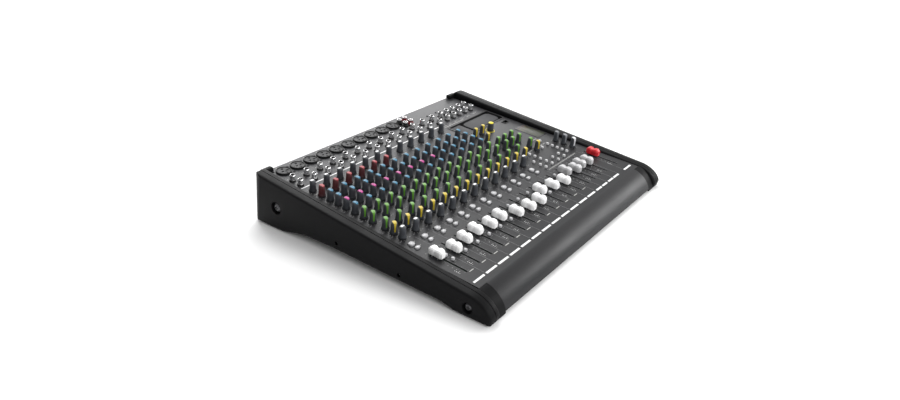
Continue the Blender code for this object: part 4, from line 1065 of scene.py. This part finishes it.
bm = newShape()
outer, inner = encoder["ring"], encoder["ring"] - encoder["ringWidth"]
spin(bm, [(outer, 0.0001), (outer, 0.0004), (outer - 0.0002, 0.0006), (inner, 0.0006), (inner, 0.0001)], 40,
     wrap=True)
ringShape = keepShape(bm, "encoderRing")
setDown("encoderRing", [encoderSpot], "ink", ringShape)

numbers = {"size": 0.0021, "extrude": 0.00003, "texts": ("10", "5", "0", "5", "10", "20", "30", "40"),
           "at": (0.080, 0.0705, 0.0610, 0.0520, 0.0440, 0.0370, 0.0310, 0.0260)}


def numeral(text):  # scale numbers of the faders
    curve = bpy.data.curves.new("numeral", "FONT")
    curve.body, curve.size, curve.extrude = text, numbers["size"], numbers["extrude"]
    curve.align_x, curve.align_y, curve.resolution_u = "RIGHT", "CENTER", 1
    made = bpy.data.objects.new("numeral", curve)
    bpy.context.scene.collection.objects.link(made)
    graph = bpy.context.evaluated_depsgraph_get()
    mesh = bpy.data.meshes.new_from_object(made.evaluated_get(graph), depsgraph=graph)
    bpy.data.objects.remove(made)
    return mesh


bm = bmesh.new()
for text in sorted(set(numbers["texts"])):
    mesh = numeral(text)
    for node, (x, _) in faderSpots.items():
        for name, y in zip(numbers["texts"], numbers["at"]):
            if name == text:
                copy = mesh.copy()
                copy.transform(Matrix.Translation((x - 0.0052, y, ink["lift"])))
                bm.from_mesh(copy)
                bpy.data.meshes.remove(copy)
bmesh.ops.remove_doubles(bm, verts=bm.verts, dist=1e-6)
mesh = finishMesh(bm, "faderNumbers", 30)
mesh.transform(panelPlace)
finishes["paleInk"] = mouldedPlastic("paleInk", paint(150, 150, 148), paint(176, 176, 174),
                                     (0.5, 0.6)).material
settle(newPiece("faderNumbers", mesh, "paleInk"))
print("print:", len(bars), "bars,", len(dials), "dials")

# screws and bolts
screw = {"radius": 0.0022, "height": 0.0011, "slotWide": 0.0006, "slotLong": 0.0026, "slotDeep": 0.0007}
bm = newShape()
radius, top = screw["radius"], screw["height"]
spin(bm, [(0, -0.0002), (radius, -0.0002), (radius, 0.0003), (radius * 0.86, top * 0.7),
          (radius * 0.5, top * 0.95), (0, top)], 16)
head = finishMesh(bm, "screwHead", 40)
for x, y in ((screw["slotLong"] / 2, screw["slotWide"] / 2), (screw["slotWide"] / 2, screw["slotLong"] / 2)):
    cross = newShape()
    block(cross, (-x, -y, top - screw["slotDeep"]), (x, y, top + 0.0004), 0.0001, 0.00005)
    head = cutFrom(head, finishMesh(cross, "slot"), "screwHead")
screwShape = newPiece("screwShape", head)
shapes.append(screwShape)
panelScrews = []
for place in xlrSpots:
    x, y = place["at"][0], place["at"][1]
    for sign in (-1, 1):
        panelScrews.append(spot(x + sign * xlr["screw"][0], y - sign * xlr["screw"][1], turn=0.4 + x * 40))
for x, y in ((0.1218, 0.3552), (0.1466, 0.3552)):
    panelScrews.append(spot(x, y, turn=x * 30))
setDown("panelScrews", panelScrews, "darkMetal", screwShape)

bolts = (((0.1600, 0.0370), 0.2461, 3.1), ((-0.1805, 0.0145), 0.2466, 2.3),  # y and z, depth and size of each
         ((0.0385, 0.0235), 0.2470, 1.15), ((-0.0730, 0.0175), 0.2470, 1.15))
for side, name in ((-1, "left"), (1, "right")):
    place = Matrix.Rotation(side * math.pi / 2, 4, "Y")
    found = [spot(-side * z, y, depth, turn=y * 9, stretch=(size, size, size))
             for (y, z), depth, size in bolts]
    setDown(f"{name}CheekBolts", found, "boltMetal", screwShape, place=place)

rear = {"face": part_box("base_pan")[1].y,
        "screws": ((-0.215, 0.030), (-0.215, 0.056), (0.215, 0.030), (0.215, 0.056), (-0.070, 0.062),
                   (0.070, 0.062), (0.1585, 0.0575), (0.1935, 0.0575))}
place = Matrix.Rotation(-math.pi / 2, 4, "X")
found = [spot(x, -z, rear["face"], turn=x * 20) for x, z in rear["screws"]]
setDown("rearScrews", found, "darkMetal", screwShape, place=place)
for shape in shapes:
    bpy.data.objects.remove(shape)
print("screws done")

# floor, light and camera
studio = {
    "floor": 14.0, "floorTones": ((0.94, 0.94, 0.94, 1), (0.96, 0.96, 0.96, 1)),
    "world": (0.34, 0.84),  # brightness on the camera's side and behind the console
    "camera": (-0.8023, -0.5684, 0.5010), "lens": 27.66,
    "forward": (0.7121, 0.5365, -0.4529), "up": (0.3528, 0.2843, 0.8915),
    # position, aim, width, depth, power
    "lamps": {"overhead": ((0.7, 0.9, 1.7), (0, 0, 0), 1.3, 1.3, 30.0),
              "behind": ((1.3, 1.7, 0.8), (0, 0, 0.05), 2.6, 1.0, 22.0),
              "front": ((-0.3, -1.7, 0.9), (0, -0.2, 0), 1.4, 0.40, 18.0),
              "strip": ((1.9, -1.25, 0.72), (0, -0.2, 0.02), 1.1, 0.70, 24.0),
              "side": ((2.2, -0.5, 1.6), (2.0, -0.5, 0), 1.4, 1.4, 7.0)},
}


def makeFloor():
    sheet = Sheet("paleFloor", Roughness=0.9, Specular_IOR_Level=0.1)
    cloud = sheet.noise(0.8, 3)
    sheet.feed("Base Color", sheet.blend(sheet.spread(cloud, 0, 1), *studio["floorTones"]))
    return sheet


mesh = bpy.data.meshes.new("floor")
half = studio["floor"] / 2
mesh.from_pydata([(-half, -half, 0), (half, -half, 0), (half, half, 0), (-half, half, 0)], [], [(0, 1, 2, 3)])
mesh.materials.append(makeFloor().material)
floor = newPiece("floor", mesh)
world = bpy.data.worlds.new("studio")
world.use_nodes = True
sky = world.node_tree
facing = sky.nodes.new("ShaderNodeVectorMath")
facing.operation = "DOT_PRODUCT"
facing.inputs[1].default_value = Vector(studio["forward"]) * Vector((1, 1, 0))
sky.links.new(sky.nodes.new("ShaderNodeTexCoord").outputs["Generated"], facing.inputs[0])
share = sky.nodes.new("ShaderNodeMapRange")
share.inputs["From Min"].default_value, share.inputs["From Max"].default_value = -0.6, 0.6
share.inputs["To Min"].default_value, share.inputs["To Max"].default_value = studio["world"]
sky.links.new(facing.outputs["Value"], share.inputs[0])
backdrop = sky.nodes["Background"]
backdrop.inputs[0].default_value = (1, 1, 1, 1)
sky.links.new(share.outputs[0], backdrop.inputs[1])
bpy.context.scene.world = world
for name, (at, aim, width, depth, power) in studio["lamps"].items():
    light = bpy.data.lights.new(name, "AREA")
    light.shape, light.size, light.size_y, light.energy = "RECTANGLE", width, depth, power
    lamp = bpy.data.objects.new(name, light)
    lamp.location = at
    lamp.rotation_euler = (Vector(aim) - Vector(at)).to_track_quat("-Z", "Y").to_euler()
    bpy.context.scene.collection.objects.link(lamp)
lensData = bpy.data.cameras.new("camera")
lensData.lens, lensData.sensor_width = studio["lens"], 36.0
lensData.clip_start, lensData.clip_end = 0.01, 50.0
camera = bpy.data.objects.new("camera", lensData)
back = -Vector(studio["forward"]).normalized()
right = Vector(studio["up"]).cross(back).normalized()
up = back.cross(right)
camera.matrix_world = Matrix.Translation(studio["camera"]) @ Matrix((right, up, back)).transposed().to_4x4()
bpy.context.scene.collection.objects.link(camera)
bpy.context.scene.camera = camera
bpy.context.scene.view_settings.view_transform = "Standard"
print("stage set")
